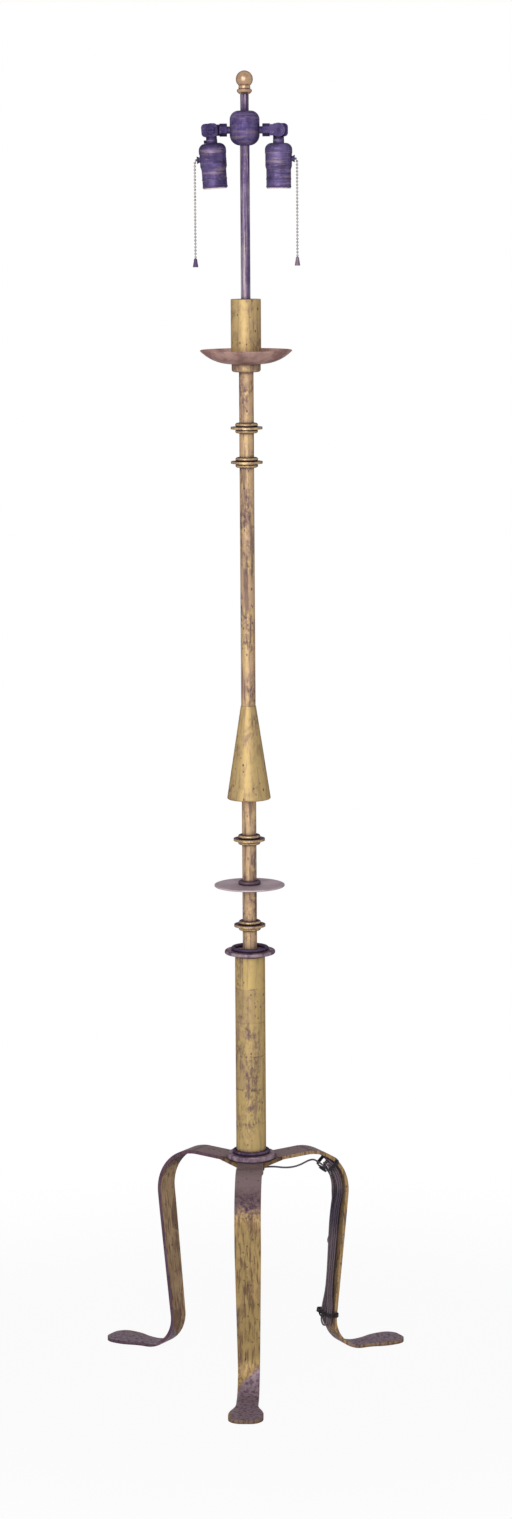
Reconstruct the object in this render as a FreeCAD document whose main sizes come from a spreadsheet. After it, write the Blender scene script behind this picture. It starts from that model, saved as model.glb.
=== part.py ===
"""Candlestick floor lamp: a tripod of forged straps, a ringed stem with a drip dish, and a
two-socket cluster with pull chains.

Frame: millimetres, +Z up, origin on the lamp's axis at floor level. The front leg points along
-Y, the other two at 30 and 150 degrees, and the two socket arms lie along X.
"""
import FreeCAD, Part
import math
import os
import re

import Sketcher

# Each size: its name, its value and what it is.
SIZES = [
    # tripod
    ("leg_thickness", 4.8, "strap iron, 3/16 inch"),
    ("leg_width", 35.5, "strap width at the hub and knee"),
    ("heel_width", 29.5, "strap width at the heel"),
    ("taper_top", 200.0, "height where the strap starts to narrow"),
    ("arch_height", 296.0, "top face of the arch"),
    ("hub_drop", 2.4, "straps under the hub flange below the top of the arch"),
    ("leg_root", 10.8, "inner end of each strap from the axis"),
    ("knee_centre", 81.0, "knee bend centre from the axis"),
    ("knee_radius", 62.4, "outer face of the knee bend"),
    ("leg_lean", 5.7, "lean of the shank, degrees"),
    ("heel_radius", 43.0, "hollow side of the heel bend"),
    ("front_foot_reach", 258, "toe of the front foot from the axis"),
    ("foot_reach", 236, "toe from the axis"),
    ("foot_width", 47.0, "widest part of the spoon foot"),
    ("foot_length", 68.0, "spoon foot, from the start of its flare to the toe"),
    ("foot_flare", 44.0, "length of the flare"),
    ("toe_radius", 18.0, "rounded toe corners"),
    # hub
    ("flange_radius", 32.6, "hub flange"),
    ("gusset_reach", 35.0, "outer edge of the corner webs from the axis"),
    ("flange_thickness", 7.2, "hub flange"),
    ("nut_flats", 7.15, "hub and cup nut, centre to flat"),
    ("nut_height", 6.0, "hub and cup nut"),
    ("nut_flange_radius", 15.2, "flange of the hub nut, which clamps the straps"),
    ("nut_flange_height", 3.0, "flange of the hub nut"),
    ("hub_cup_depth", 20.5, "cup that covers the hub nut"),
    ("sheet_wall", 1.2, "spun sheet"),
    ("bushing_drop", 11.8, "cord bushing below the strap's under face"),
    ("bushing_radius", 3.8, "cord bushing"),
    ("bushing_lip_radius", 5.0, "lip of the cord bushing"),
    ("bushing_lip", 1.4, "thickness of that lip"),
    ("pipe_radius", 4.8, "1/8 pipe thread"),
    ("pipe_bore", 3.1, "centre pipe bore"),
    ("pipe_top_stand", 13.5, "centre pipe above the cup nut"),
    ("wire_radius", 1.1, "insulated lamp wire"),
    ("wire_offset", 1.4, "wire from the axis"),
    # column
    ("column_radius", 20.5, "1 5/8 inch tube"),
    ("column_wall", 2.0, "column tube"),
    ("column_length", 279.0, "column tube"),
    ("cap_radius", 34.4, "plate on the column"),
    ("cap_thickness", 4.8, "plate on the column"),
    ("column_ring_wire", 2.55, "radius of the wire of the column rings"),
    ("collar_ring_wire", 1.6, "radius of the wire under the column cap"),
    # stem
    ("stem_radius", 9.75, "3/4 inch tube"),
    ("stem_wall", 1.6, "stem tube"),
    ("stem_length", 794.5, "from the column cap to the drip dish"),
    ("ring_wire", 2.7, "radius of the wire of the stem rings"),
    ("knop_radius", 21.3, "disc of a ring knop"),
    ("knop_thickness", 3.0, "disc of a ring knop"),
    ("first_knop_rise", 34.2, "lowest knop above the column cap"),
    ("drip_disc_rise", 89.6, "flat disc above the column cap"),
    ("second_knop_rise", 152.7, "knop above the flat disc"),
    ("cone_rise", 208.5, "bottom of the cone above the column cap"),
    ("third_knop_drop", 130.8, "knop above the cone, below the stem's top"),
    ("fourth_knop_drop", 85.0, "highest knop, below the stem's top"),
    ("drip_disc_radius", 47.8, "flat disc"),
    ("drip_disc_thickness", 2.4, "flat disc"),
    ("cone_height", 127.0, "spun cone"),
    ("cone_radius", 29.4, "cone at its mouth"),
    ("cone_wall", 1.6, "cone sheet"),
    # drip dish and candle
    ("collar_radius", 19.4, "collar under the drip dish"),
    ("collar_height", 10.6, "collar under the drip dish"),
    ("collar_round", 3.6, "lower edge of the collar"),
    ("dish_radius", 61.6, "drip dish rim"),
    ("dish_flat", 20.0, "flat middle of the drip dish"),
    ("dish_curve", 58.0, "curve of the drip dish, under face"),
    ("dish_wall", 1.5, "drip dish sheet"),
    ("candle_radius", 20.1, "candle sleeve"),
    ("candle_wall", 1.5, "candle sleeve"),
    ("candle_height", 84.3, "candle sleeve"),
    ("riser_radius", 6.35, "1/2 inch brass tube"),
    ("riser_wall", 1.2, "riser tube"),
    ("riser_length", 279.2, "riser tube"),
    # cluster body
    ("cluster_radius", 19.7, "cluster body"),
    ("cluster_height", 45.4, "cluster body"),
    ("cluster_seam", 30.6, "seam of the two halves above the bottom"),
    ("cluster_bottom_round", 13.8, "lower shoulder"),
    ("cluster_top_round", 11.8, "upper shoulder"),
    ("cluster_wall", 1.3, "cluster body sheet"),
    ("cluster_pipe_stand", 10.2, "nipple beyond the cluster body, each way"),
    ("arm_rise", 20.2, "arm axis above the cluster's bottom"),
    ("shade_stem_radius", 5.6, "shade stem"),
    ("shade_stem_length", 21.4, "shade stem"),
    ("stud_radius", 3.1, "threaded stud for the finial"),
    ("stud_length", 11.2, "threaded stud for the finial"),
    ("finial_ball", 11.2, "finial ball radius"),
    ("finial_flange", 10.1, "finial flange radius"),
    ("finial_neck", 7.4, "finial neck radius"),
    ("finial_ball_rise", 19.2, "ball centre above the finial's foot"),
    # knuckle
    ("pivot_reach", 44.6, "knuckle pivot from the lamp's axis"),
    ("nipple_start", 13.1, "inner end of the arm nipples, from the axis"),
    ("knuckle_radius", 9.2, "round end of the fixed half"),
    ("tongue_half", 7.4, "half height of the fixed half between the hexagon and its round end"),
    ("swivel_half", 8.7, "half height of the moving half"),
    ("swivel_inner", 9.2, "moving half on the inner side of the pivot"),
    ("swivel_outer", 12.3, "moving half beyond the pivot"),
    ("swivel_round", 5.0, "corners of the moving half"),
    ("knuckle_width", 7.4, "each half"),
    ("hex_flats", 7.4, "arm hexagon, centre to flat"),
    ("hex_inner", 21.2, "inner end of the arm hexagon from the pivot"),
    ("hex_outer", 11.4, "outer end of the arm hexagon from the pivot"),
    ("pivot_pin_radius", 2.0, "pivot screw shank"),
    ("pivot_head_radius", 5.0, "pivot screw head"),
    ("pivot_head_height", 1.8, "pivot screw head"),
    ("slot_width", 1.1, "screwdriver slot"),
    ("neck_radius", 7.2, "neck of the moving half"),
    ("neck_top", 10.2, "top of the neck below the pivot"),
    ("neck_drop", 12.5, "end of the neck below the pivot"),
    ("nipple_length", 5.9, "nipple below that neck"),
    ("left_tilt", 4.0, "left socket leans in, degrees"),
    ("right_tilt", 0.0, "right socket leans in, degrees"),
    # socket
    ("cap_hub_radius", 7.4, "hub of the socket cap"),
    ("cap_hub_height", 4.5, "hub of the socket cap"),
    ("socket_cap_radius", 18.1, "socket cap"),
    ("socket_cap_round", 9.0, "shoulder of the socket cap"),
    ("socket_cap_skirt", 4.6, "straight side of the socket cap"),
    ("socket_wall", 0.8, "socket cap sheet"),
    ("shell_wall", 0.6, "socket shell sheet"),
    ("shell_upper_radius", 17.6, "upper part of the socket shell"),
    ("shell_lower_radius", 16.3, "lower part of the socket shell"),
    ("shell_shoulder", 47.2, "end of the upper part below the pivot"),
    ("shell_taper", 4.4, "height of the taper"),
    ("shell_end", 75.2, "bottom of the shell below the pivot"),
    ("bead_height", 0.45, "rolled beads of the shell"),
    ("bead_half", 1.1, "half the height of a rolled bead"),
    ("bead_drop", 64.0, "middle bead below the pivot"),
    ("liner_wall", 0.8, "paper liner"),
    ("liner_stand", 1.4, "liner beyond the shell"),
    ("liner_length", 28.0, "paper liner"),
    ("switch_radius", 14.4, "switch body"),
    ("switch_top", 29.5, "top of the switch body below the pivot"),
    ("switch_end", 49.5, "bottom of the switch body below the pivot"),
    ("screw_shell_bore", 13.15, "lamp thread"),
    ("screw_shell_wall", 0.45, "lamp thread shell"),
    ("screw_shell_length", 23.0, "lamp thread shell"),
    ("screw_shell_turn_in", 2.5, "how far its bottom turns in round the contact"),
    ("contact_radius", 4.2, "centre contact"),
    ("contact_height", 2.2, "centre contact"),
    ("contact_clear", 0.3, "between the contact and the end of the lamp thread"),
    ("set_screw_radius", 1.5, "set screw"),
    ("set_screw_head", 2.1, "set screw head radius"),
    ("set_screw_head_length", 3.0, "set screw head"),
    # pull chain
    ("guide_drop", 37.6, "chain guide below the pivot"),
    ("guide_radius", 3.5, "chain guide"),
    ("guide_bore", 2.2, "chain guide bore"),
    ("guide_mouth", 5.0, "flared mouth of the chain guide"),
    ("guide_reach", 21.3, "mouth from the socket's axis"),
    ("guide_seat", 9.2, "inner end of the guide from the socket's axis"),
    ("chain_bead", 1.6, "bead radius"),
    ("chain_wire", 0.5, "wire between the beads"),
    ("chain_pitch", 4.4, "bead to bead"),
    ("chain_beads", 30, "beads below the guide, the last inside the bell"),
    ("chain_first_out", 1.7, "first hanging bead beyond the link's bead"),
    ("chain_first_drop", 3.5, "first hanging bead below the link's bead"),
    ("bell_length", 11.4, "chain bell"),
    ("bell_radius", 3.7, "mouth of the chain bell"),
    ("bell_neck", 2.1, "neck of the chain bell"),
    ("bell_seat", 2.6, "last bead's centre below the bell's top"),
    # cord
    ("cord_radius", 1.25, "round supply cord"),
    ("hank_pitch", 3.0, "layer to layer"),
    ("hank_seat", 2.25, "nearest layer's centre off the strap"),
    ("hank_side", -3.0, "middle of the hank beside the strap's middle"),
    ("fold_radius", 7.6, "folds of the hank, three cord diameters"),
    ("waist_half", 2.2, "half the spacing of the runs between the folds"),
    ("waist_from", 3.0, "start of the draw-in below the knee bend"),
    ("waist_step", 22.0, "length of each draw-in"),
    ("waist_length", 116.0, "length of the waist"),
    ("climb_from", 50.0, "start of the climb below the knee bend"),
    ("climb_length", 60.0, "length of the climb"),
    ("hank_reach", 183.0, "lower folds below the knee bend"),
    ("hank_top_angle", 50.0, "upper folds round the knee, degrees from the top"),
    ("lead_angle", 32.0, "the lead joins the hank here, degrees from the top"),
    ("tail_start", 44.0, "the tail leaves the last run, below the knee bend"),
    ("plug_side", 20.8, "plug beside the strap's middle, which hangs behind it"),
    ("plug_behind", 14.4, "plug's middle behind the strap's inner face"),
    ("plug_drop", 129.0, "top of the plug below the knee bend"),
    ("upper_tie_angle", 46.0, "upper tie round the knee, degrees from the top"),
    ("lower_tie_drop", 174.0, "lower tie below the knee bend"),
    ("tie_width", 4.6, "tie"),
    ("tie_wall", 1.3, "tie"),
    ("plug_length", 25.0, "plug body"),
    ("plug_width", 18.0, "plug body"),
    ("plug_thickness", 12.5, "plug body"),
    ("blade_length", 16.0, "plug blades"),
    ("blade_width", 6.3, "plug blades"),
    ("blade_thickness", 1.5, "plug blades"),
    ("blade_spacing", 12.7, "plug blades"),
    # fits
    ("close_fit", 0.05, "radial clearance of seated pieces"),
    ("running_gap", 0.15, "between faces that turn on each other"),
    ("resting_gap", 0.2, "under pieces that lift off"),
]

doc = FreeCAD.newDocument("CandlestickLamp")
sheet = doc.addObject("Spreadsheet::Sheet", "Sizes")
for row, (alias, value, note) in enumerate(SIZES, start=1):
    sheet.set("A%d" % row, str(value))
    sheet.setAlias("A%d" % row, alias)
    sheet.set("B%d" % row, note)
doc.recompute()

NAMES = {alias for alias, _, _ in SIZES}
LEG_ANGLES = {"front_leg": -90, "right_leg": 30, "left_leg": 150}
CORD_LEG = LEG_ANGLES["right_leg"]
SIDES = {"left": 180, "right": 0}
SET_SCREW_TURN = {"left": 0, "right": 90}
HANK_LOOPS = 3
subparts = []


# ---------------------------------------------------------------- expressions and sketches
def bind(text):
    """The expression with each size name pointed at the sheet."""
    return re.sub(r"[A-Za-z_]+", lambda m: "Sizes." + m.group() if m.group() in NAMES else m.group(),
                  str(text))


def value(text):
    """The expression's present value."""
    return float(doc.Sizes.evalExpression(str(text)))


def vector(x, y, z):
    return FreeCAD.Vector(x, y, z)


def bound(item, **links):
    """Ties properties of an object to expressions."""
    for name, text in links.items():
        item.setExpression(name, bind(text))
    return item


def keep(item, label):
    """Marks an object as a sub-part under its own name."""
    item.Label = label
    subparts.append(item)
    return item


def put(item, x="0", y="0", z="0", yaw="0", pitch="0", roll="0"):
    """Places an object by expressions: its origin, then turns about Z, Y and X."""
    item.setExpression("Placement", bind(
        f"create(<<placement>>; create(<<vector>>; {x}; {y}; {z}); "
        f"create(<<rotation>>; {yaw}; {pitch}; {roll}))"))
    return item


def plane(body, role):
    return [face for face in body.Origin.OriginFeatures if face.Role == role][0]


def draw(body, name, role, corners, arcs=None, offset=None):
    """A closed outline through corners given as expressions.

    arcs maps the number of the edge that starts at a corner to (radius, +1 or -1): +1 turns left.
    """
    sketch = body.newObject("Sketcher::SketchObject", name)
    sketch.AttachmentSupport = [(plane(body, role), "")]
    sketch.MapMode = "FlatFace"
    if offset:
        bound(sketch, **{"AttachmentOffset.Base.z": offset})
    add_outline(sketch, corners, arcs or {})
    return sketch


def add_outline(sketch, corners, arcs):
    """Adds one closed outline to a sketch and ties every corner and arc."""
    first = sketch.GeometryCount
    points = [vector(value(x), value(y), 0) for x, y in corners]
    count = len(points)
    for number in range(count):
        start, end = points[number], points[(number + 1) % count]
        if number in arcs:
            radius, turn = value(arcs[number][0]), arcs[number][1]
            middle = arc_middle(start, end, radius, turn)
            sketch.addGeometry(Part.Arc(start, middle, end), False)
        else:
            sketch.addGeometry(Part.LineSegment(start, end), False)
    for number in range(count):
        following = (number + 1) % count
        sketch.addConstraint(Sketcher.Constraint(
            "Coincident", first + number, end_of(number, arcs), first + following,
            start_of(following, arcs)))
    for number, (x, y) in enumerate(corners):
        for kind, text, spot in (("DistanceX", x, points[number].x), ("DistanceY", y, points[number].y)):
            index = sketch.addConstraint(Sketcher.Constraint(
                kind, first + number, start_of(number, arcs), spot))
            sketch.renameConstraint(index, "%s%d" % (kind[-1].lower(), first + number))
            sketch.setExpression("Constraints.%s%d" % (kind[-1].lower(), first + number), bind(text))
    for number, (radius, turn) in arcs.items():
        index = sketch.addConstraint(Sketcher.Constraint("Radius", first + number, value(radius)))
        sketch.renameConstraint(index, "radius%d" % (first + number))
        sketch.setExpression("Constraints.radius%d" % (first + number), bind(radius))


def start_of(number, arcs):
    """A sketch arc runs counter-clockwise, so a right-hand arc starts at its second end."""
    return 2 if number in arcs and arcs[number][1] < 0 else 1


def end_of(number, arcs):
    return 3 - start_of(number, arcs)


def arc_middle(start, end, radius, turn):
    """The middle point of an arc of under half a turn from start to end."""
    chord = end - start
    half = chord.Length / 2
    rise = radius - math.sqrt(max(radius ** 2 - half ** 2, 0))
    right = vector(chord.y, -chord.x, 0).normalize()
    return (start + end) * 0.5 + right * (rise * turn)


def turned(label, corners, arcs=None, **place):
    """A sub-part turned about its own vertical axis from (radius, height) corners."""
    return keep(put(turned_body(label, corners, arcs), **place), label)


def turned_body(label, corners, arcs=None, axis="V_Axis", drop=None):
    """A turned body. With H_Axis it lies along X, that far below, from (reach, radius) corners."""
    body = doc.addObject("PartDesign::Body", label)
    sketch = draw(body, label + "_section", "XZ_Plane", corners, arcs)
    if drop:
        bound(sketch, **{"AttachmentOffset.Base.y": f"-({drop})"})
    turn = body.newObject("PartDesign::Revolution", label + "_turn")
    turn.Profile = (sketch, [""])
    turn.ReferenceAxis = (sketch, [axis])
    turn.Angle = 360
    body.Tip = turn
    return body


def tube(label, outer, bore, height, **place):
    """A plain tube or washer."""
    corners = [(bore, "0"), (outer, "0"), (outer, height), (bore, height)]
    return turned(label, corners, **place)


def disc_with_round_edge(label, radius, bore, height, softened, **place):
    """A plate with a softened rim."""
    corners = [(bore, "0"), (f"{radius} - ({softened})", "0"), (radius, softened),
               (radius, f"{height} - ({softened})"), (f"{radius} - ({softened})", height), (bore, height)]
    return turned(label, corners, {1: (softened, 1), 3: (softened, 1)}, **place)


def cylinder(name, radius, height, **place):
    item = bound(doc.addObject("Part::Cylinder", name), Radius=radius, Height=height)
    return put(item, **place)


def box(name, xs, ys, zs, **place):
    """A box between two expressions along each axis, in the frame that the placement gives."""
    item = doc.addObject("Part::Box", name)
    bound(item, Length=f"{xs[1]} - ({xs[0]})", Width=f"{ys[1]} - ({ys[0]})", Height=f"{zs[1]} - ({zs[0]})")
    put(item, x=xs[0], y=ys[0], z=zs[0])
    return put(fuse(name + "_spot", item), **place) if place else item


def prism(name, flats, height, **place):
    """A hexagon given by its centre-to-flat size."""
    item = doc.addObject("Part::Prism", name)
    item.Polygon = 6
    bound(item, Circumradius=f"({flats}) / cos(30)", Height=height)
    return put(item, **place)


def fuse(name, *pieces):
    item = doc.addObject("Part::MultiFuse" if len(pieces) > 1 else "Part::Compound", name)
    setattr(item, "Shapes" if len(pieces) > 1 else "Links", list(pieces))
    return item


def cut(name, base, tool):
    item = doc.addObject("Part::Cut", name)
    item.Base = base
    item.Tool = tool
    return item


def group(name, pieces):
    """Like pieces that share a node as separate solids."""
    item = doc.addObject("Part::Compound", name)
    item.Links = list(pieces)
    return item


# ---------------------------------------------------------------- heights of the stack
HUB_SEAT = "(arch_height - hub_drop)"
LEG_UNDER = f"({HUB_SEAT} - leg_thickness)"
FLANGE_TOP = f"({HUB_SEAT} + flange_thickness)"
COLUMN_TOP = f"({FLANGE_TOP} + column_length)"
CAP_TOP = f"({COLUMN_TOP} + cap_thickness)"
STEM_TOP = f"({CAP_TOP} + stem_length)"
DISH_FLOOR = f"({STEM_TOP} + dish_wall)"
RISER_FOOT = f"({DISH_FLOOR} + nut_height)"
CLUSTER_FOOT = f"({RISER_FOOT} + riser_length)"
CLUSTER_TOP = f"({CLUSTER_FOOT} + cluster_height)"
ARM_HEIGHT = f"({CLUSTER_FOOT} + arm_rise)"
STUD_FOOT = f"({CLUSTER_TOP} + shade_stem_length)"
PIPE_HOLE = "pipe_radius + close_fit"


# ---------------------------------------------------------------- tripod
def leg(label, angle, reach):
    """A strap bent over the knee and out into a spoon foot; the profile lies in the XZ plane."""
    body = doc.addObject("PartDesign::Body", label)
    thick = "leg_thickness"
    knee_z = "(arch_height - knee_radius)"
    across = "cos(leg_lean)"
    down = "sin(leg_lean)"
    shank_r = f"(knee_centre + knee_radius * {across})"
    shank_z = f"({knee_z} - knee_radius * {down})"
    heel_z = f"({thick} + heel_radius)"
    heel_r = f"({shank_r} + (heel_radius + ({heel_z} - {shank_z}) * {down}) / {across})"
    corners = [
        ("leg_root", HUB_SEAT),
        ("flange_radius", HUB_SEAT),
        ("knee_centre", "arch_height"),
        (shank_r, shank_z),
        (f"{heel_r} - heel_radius * {across}", f"{heel_z} + heel_radius * {down}"),
        (heel_r, thick),
        (reach, thick),
        (reach, "0"),
        (heel_r, "0"),
        (f"{heel_r} - (heel_radius + {thick}) * {across}", f"{heel_z} + (heel_radius + {thick}) * {down}"),
        (f"knee_centre + (knee_radius - {thick}) * {across}", f"{knee_z} - (knee_radius - {thick}) * {down}"),
        ("knee_centre", f"arch_height - {thick}"),
        ("flange_radius", LEG_UNDER),
        ("leg_root", LEG_UNDER),
    ]
    arcs = {2: ("knee_radius", -1), 4: ("heel_radius", 1), 8: (f"heel_radius + {thick}", -1),
            10: (f"knee_radius - {thick}", 1)}
    profile = draw(body, label + "_profile", "XZ_Plane", corners, arcs)
    strap = body.newObject("PartDesign::Pad", label + "_strap")
    strap.Profile = (profile, [""])
    strap.Midplane = True
    bound(strap, Length="foot_width + 4")
    doc.recompute()
    trim(body, label + "_front_trim", "YZ_Plane", front_view_corners(), {}, both_ways=True)
    plan, plan_arcs = plan_view_corners(reach)
    trim(body, label + "_plan_trim", "XY_Plane", plan, plan_arcs, both_ways=True)
    return keep(put(body, yaw=angle), label)


def front_view_corners():
    """The strap seen along its arm: full width above, narrow at the heel, free below for the foot."""
    foot = "leg_thickness + 0.2"
    shank = "(arch_height + 10)"
    half = [("foot_width / 2 + 1", "-1"), ("foot_width / 2 + 1", foot), ("heel_width / 2", foot),
            ("heel_width / 2", "leg_thickness * 5"), ("leg_width / 2", "taper_top"),
            ("leg_width / 2", shank)]
    return half + [(f"-({x})", z) for x, z in reversed(half)]


def plan_view_corners(reach):
    """The strap seen from above: straight, then the spoon foot with rounded toe corners."""
    step = "(knee_centre + knee_radius + 2)"
    neck = f"({reach} - foot_length)"
    wide = f"{neck} + foot_flare"
    toe = f"{reach} - toe_radius"
    middle = f"({neck} + foot_flare / 2)"
    flare = "((foot_width - heel_width) / 4)"
    half = [("leg_root - 1", "leg_width / 2"), (step, "leg_width / 2"), (step, "heel_width / 2"),
            (neck, "heel_width / 2"), (middle, f"heel_width / 2 + {flare}"),
            (wide, "foot_width / 2"), (toe, "foot_width / 2"), (reach, "foot_width / 2 - toe_radius")]
    corners = half + [(x, f"-({y})") for x, y in reversed(half)]
    radius = f"((foot_flare / 2) ^ 2 + {flare} ^ 2) / (2 * {flare})"
    arcs = {3: (radius, 1), 4: (radius, -1), 6: ("toe_radius", -1),
            8: ("toe_radius", -1), 10: (radius, -1), 11: (radius, 1)}
    return corners, arcs


def trim(body, name, role, corners, arcs, both_ways):
    """Cuts away everything outside an outline."""
    sketch = draw(body, name + "_outline", role, corners, arcs)
    clear = value("foot_width")
    far, high = value("front_foot_reach") + clear, value("arch_height") + clear
    points = [(-far, -clear), (far, -clear), (far, high), (-far, high)]
    if role == "XY_Plane":
        points = [(-clear, -clear), (far, -clear), (far, clear), (-clear, clear)]
    first = sketch.GeometryCount
    for number in range(4):
        start, end = points[number], points[(number + 1) % 4]
        sketch.addGeometry(Part.LineSegment(vector(*start, 0), vector(*end, 0)), False)
        for kind, spot in (("DistanceX", start[0]), ("DistanceY", start[1])):
            sketch.addConstraint(Sketcher.Constraint(kind, first + number, 1, spot))
    for number in range(4):
        following = first + (number + 1) % 4
        sketch.addConstraint(Sketcher.Constraint("Coincident", first + number, 2, following, 1))
    pocket = body.newObject("PartDesign::Pocket", name)
    pocket.Profile = (sketch, [""])
    pocket.Midplane = both_ways
    pocket.Length = 4 * far
    body.Tip = pocket
    doc.recompute()


def gusset(label, angle):
    """A corner web that fills the gap between two straps under the flange."""
    body = doc.addObject("PartDesign::Body", label)
    apex = "((leg_width / 2 + close_fit) / sin(60))"
    half = f"((gusset_reach - {apex}) * tan(60))"
    outline = draw(body, label + "_outline", "XY_Plane",
                   [(apex, "0"), ("gusset_reach", f"-{half}"), ("gusset_reach", half)])
    pad = body.newObject("PartDesign::Pad", label + "_pad")
    pad.Profile = (outline, [""])
    bound(pad, Length="leg_thickness")
    body.Tip = pad
    return put(body, z=LEG_UNDER, yaw=angle)


# ---------------------------------------------------------------- hub, column and stem
def build_hub():
    webs = [gusset(f"hub_gusset_{number}", angle + 60) for number, angle in enumerate(LEG_ANGLES.values())]
    keep(group("hub_gussets", webs), "hub_gussets")
    disc_with_round_edge("hub_flange", "flange_radius", PIPE_HOLE, "flange_thickness", "1.2", z=HUB_SEAT)
    nut_foot = f"({LEG_UNDER} - nut_flange_height - nut_height)"
    body = fuse("hub_nut_body", prism("hub_nut_hex", "nut_flats", "nut_height"),
                cylinder("hub_nut_washer", "nut_flange_radius", "nut_flange_height", z="nut_height"))
    bore = cylinder("hub_nut_bore", PIPE_HOLE, "nut_height + nut_flange_height + 2", z="-1")
    keep(put(cut("hub_nut", body, bore), z=nut_foot), "hub_nut")
    inner = "nut_flange_radius + close_fit"
    outer = f"{inner} + sheet_wall"
    depth = "hub_cup_depth"
    cup = turned_body("hub_cup_body", [
        ("0", "0"), (f"{outer} - 2.5", "0"), (outer, "2.5"), (outer, depth), (inner, depth),
        (inner, "2.5"), (f"{inner} - 1.3", "sheet_wall"), ("0", "sheet_wall")],
        {1: ("2.5", 1), 5: ("1.3", -1)})
    hole = cylinder("hub_cup_hole", "bushing_radius + close_fit", "30",
                    z="hub_cup_depth - bushing_drop", yaw=CORD_LEG, pitch="90")
    keep(put(cut("hub_cup", cup, hole), z=f"{LEG_UNDER} - hub_cup_depth"), "hub_cup")
    lip = f"{outer} + bushing_lip"
    bore = "cord_radius + close_fit"
    start = "nut_flange_radius - 1"
    bushing = turned_body("cord_bushing", [
        (start, bore), (lip, bore), (lip, "bushing_lip_radius"), (outer, "bushing_lip_radius"),
        (outer, "bushing_radius"), (start, "bushing_radius")], axis="H_Axis", drop="bushing_drop")
    keep(put(bushing, z=LEG_UNDER, yaw=CORD_LEG), "cord_bushing")
    tube("centre_pipe", "pipe_radius", "pipe_bore", f"{RISER_FOOT} + pipe_top_stand - {nut_foot} + 1",
         z=f"{nut_foot} - 1")
    wires = [cylinder(f"supply_wire_{side}", "wire_radius", f"{ARM_HEIGHT} + 4 - ({LEG_UNDER} - 16)",
                      x=f"{side} * wire_offset") for side in (-1, 1)]
    keep(put(group("supply_wires", wires), z=f"{LEG_UNDER} - 16"), "supply_wires")


def ring(name, major, wire, **place):
    """A ring bent from round wire."""
    item = bound(doc.addObject("Part::Torus", name), Radius1=major, Radius2=wire)
    return put(item, **place)


def build_column():
    tube("column_tube", "column_radius", "column_radius - column_wall", "column_length", z=FLANGE_TOP)
    disc_with_round_edge("column_cap", "cap_radius", PIPE_HOLE, "cap_thickness", "1.8", z=COLUMN_TOP)
    major = "column_radius + close_fit + column_ring_wire"
    rings = [ring(f"column_ring_{number}", major, "column_ring_wire", z=f"{seat} + column_ring_wire")
             for number, seat in enumerate((FLANGE_TOP, CAP_TOP))]
    rings.append(ring("column_ring_2", "column_radius + close_fit + collar_ring_wire", "collar_ring_wire",
                      z=f"{COLUMN_TOP} - collar_ring_wire"))
    keep(group("column_rings", rings), "column_rings")


def build_stem():
    tube("stem_tube", "stem_radius", "stem_radius - stem_wall", "stem_length", z=CAP_TOP)
    hole = "stem_radius + close_fit"
    knops = ["first_knop_rise", "second_knop_rise", "(stem_length - third_knop_drop)",
             "(stem_length - fourth_knop_drop)"]
    discs = [cut(f"knop_disc_{number}",
                 cylinder(f"knop_plate_{number}", "knop_radius", "knop_thickness"),
                 cylinder(f"knop_bore_{number}", hole, "knop_thickness + 2", z="-1"))
             for number in range(len(knops))]
    for disc, rise in zip(discs, knops):
        put(disc, z=f"{CAP_TOP} + {rise} - knop_thickness / 2")
    keep(group("knop_discs", discs), "knop_discs")
    seats = [(rise, "knop_thickness") for rise in knops] + [("drip_disc_rise", "drip_disc_thickness")]
    rings = [ring(f"knop_ring_{number}_{end}", f"{hole} + ring_wire", "ring_wire",
                  z=f"{CAP_TOP} + {rise} + {side} * ({thickness} / 2 + ring_wire)")
             for number, (rise, thickness) in enumerate(seats)
             for end, side in (("under", -1), ("over", 1))]
    keep(group("knop_rings", rings), "knop_rings")
    disc_with_round_edge("drip_disc", "drip_disc_radius", hole, "drip_disc_thickness", "1.0",
                         z=f"{CAP_TOP} + drip_disc_rise - drip_disc_thickness / 2")
    top = f"({hole} + 0.5)"
    slope = f"(cone_radius - {top}) / (cone_height - 2)"
    turned("cone", [
        (hole, "0"), ("cone_radius - 2", "0"), ("cone_radius", "2"), (top, "cone_height"),
        (hole, "cone_height"), (hole, f"cone_height - (cone_wall + 0.1 - 0.5) / ({slope})"),
        (f"cone_radius - cone_wall - 0.1 + (2 - cone_wall) * {slope}", "cone_wall"), (hole, "cone_wall")],
        {1: ("2", 1)}, z=f"{CAP_TOP} + cone_rise")


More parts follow.
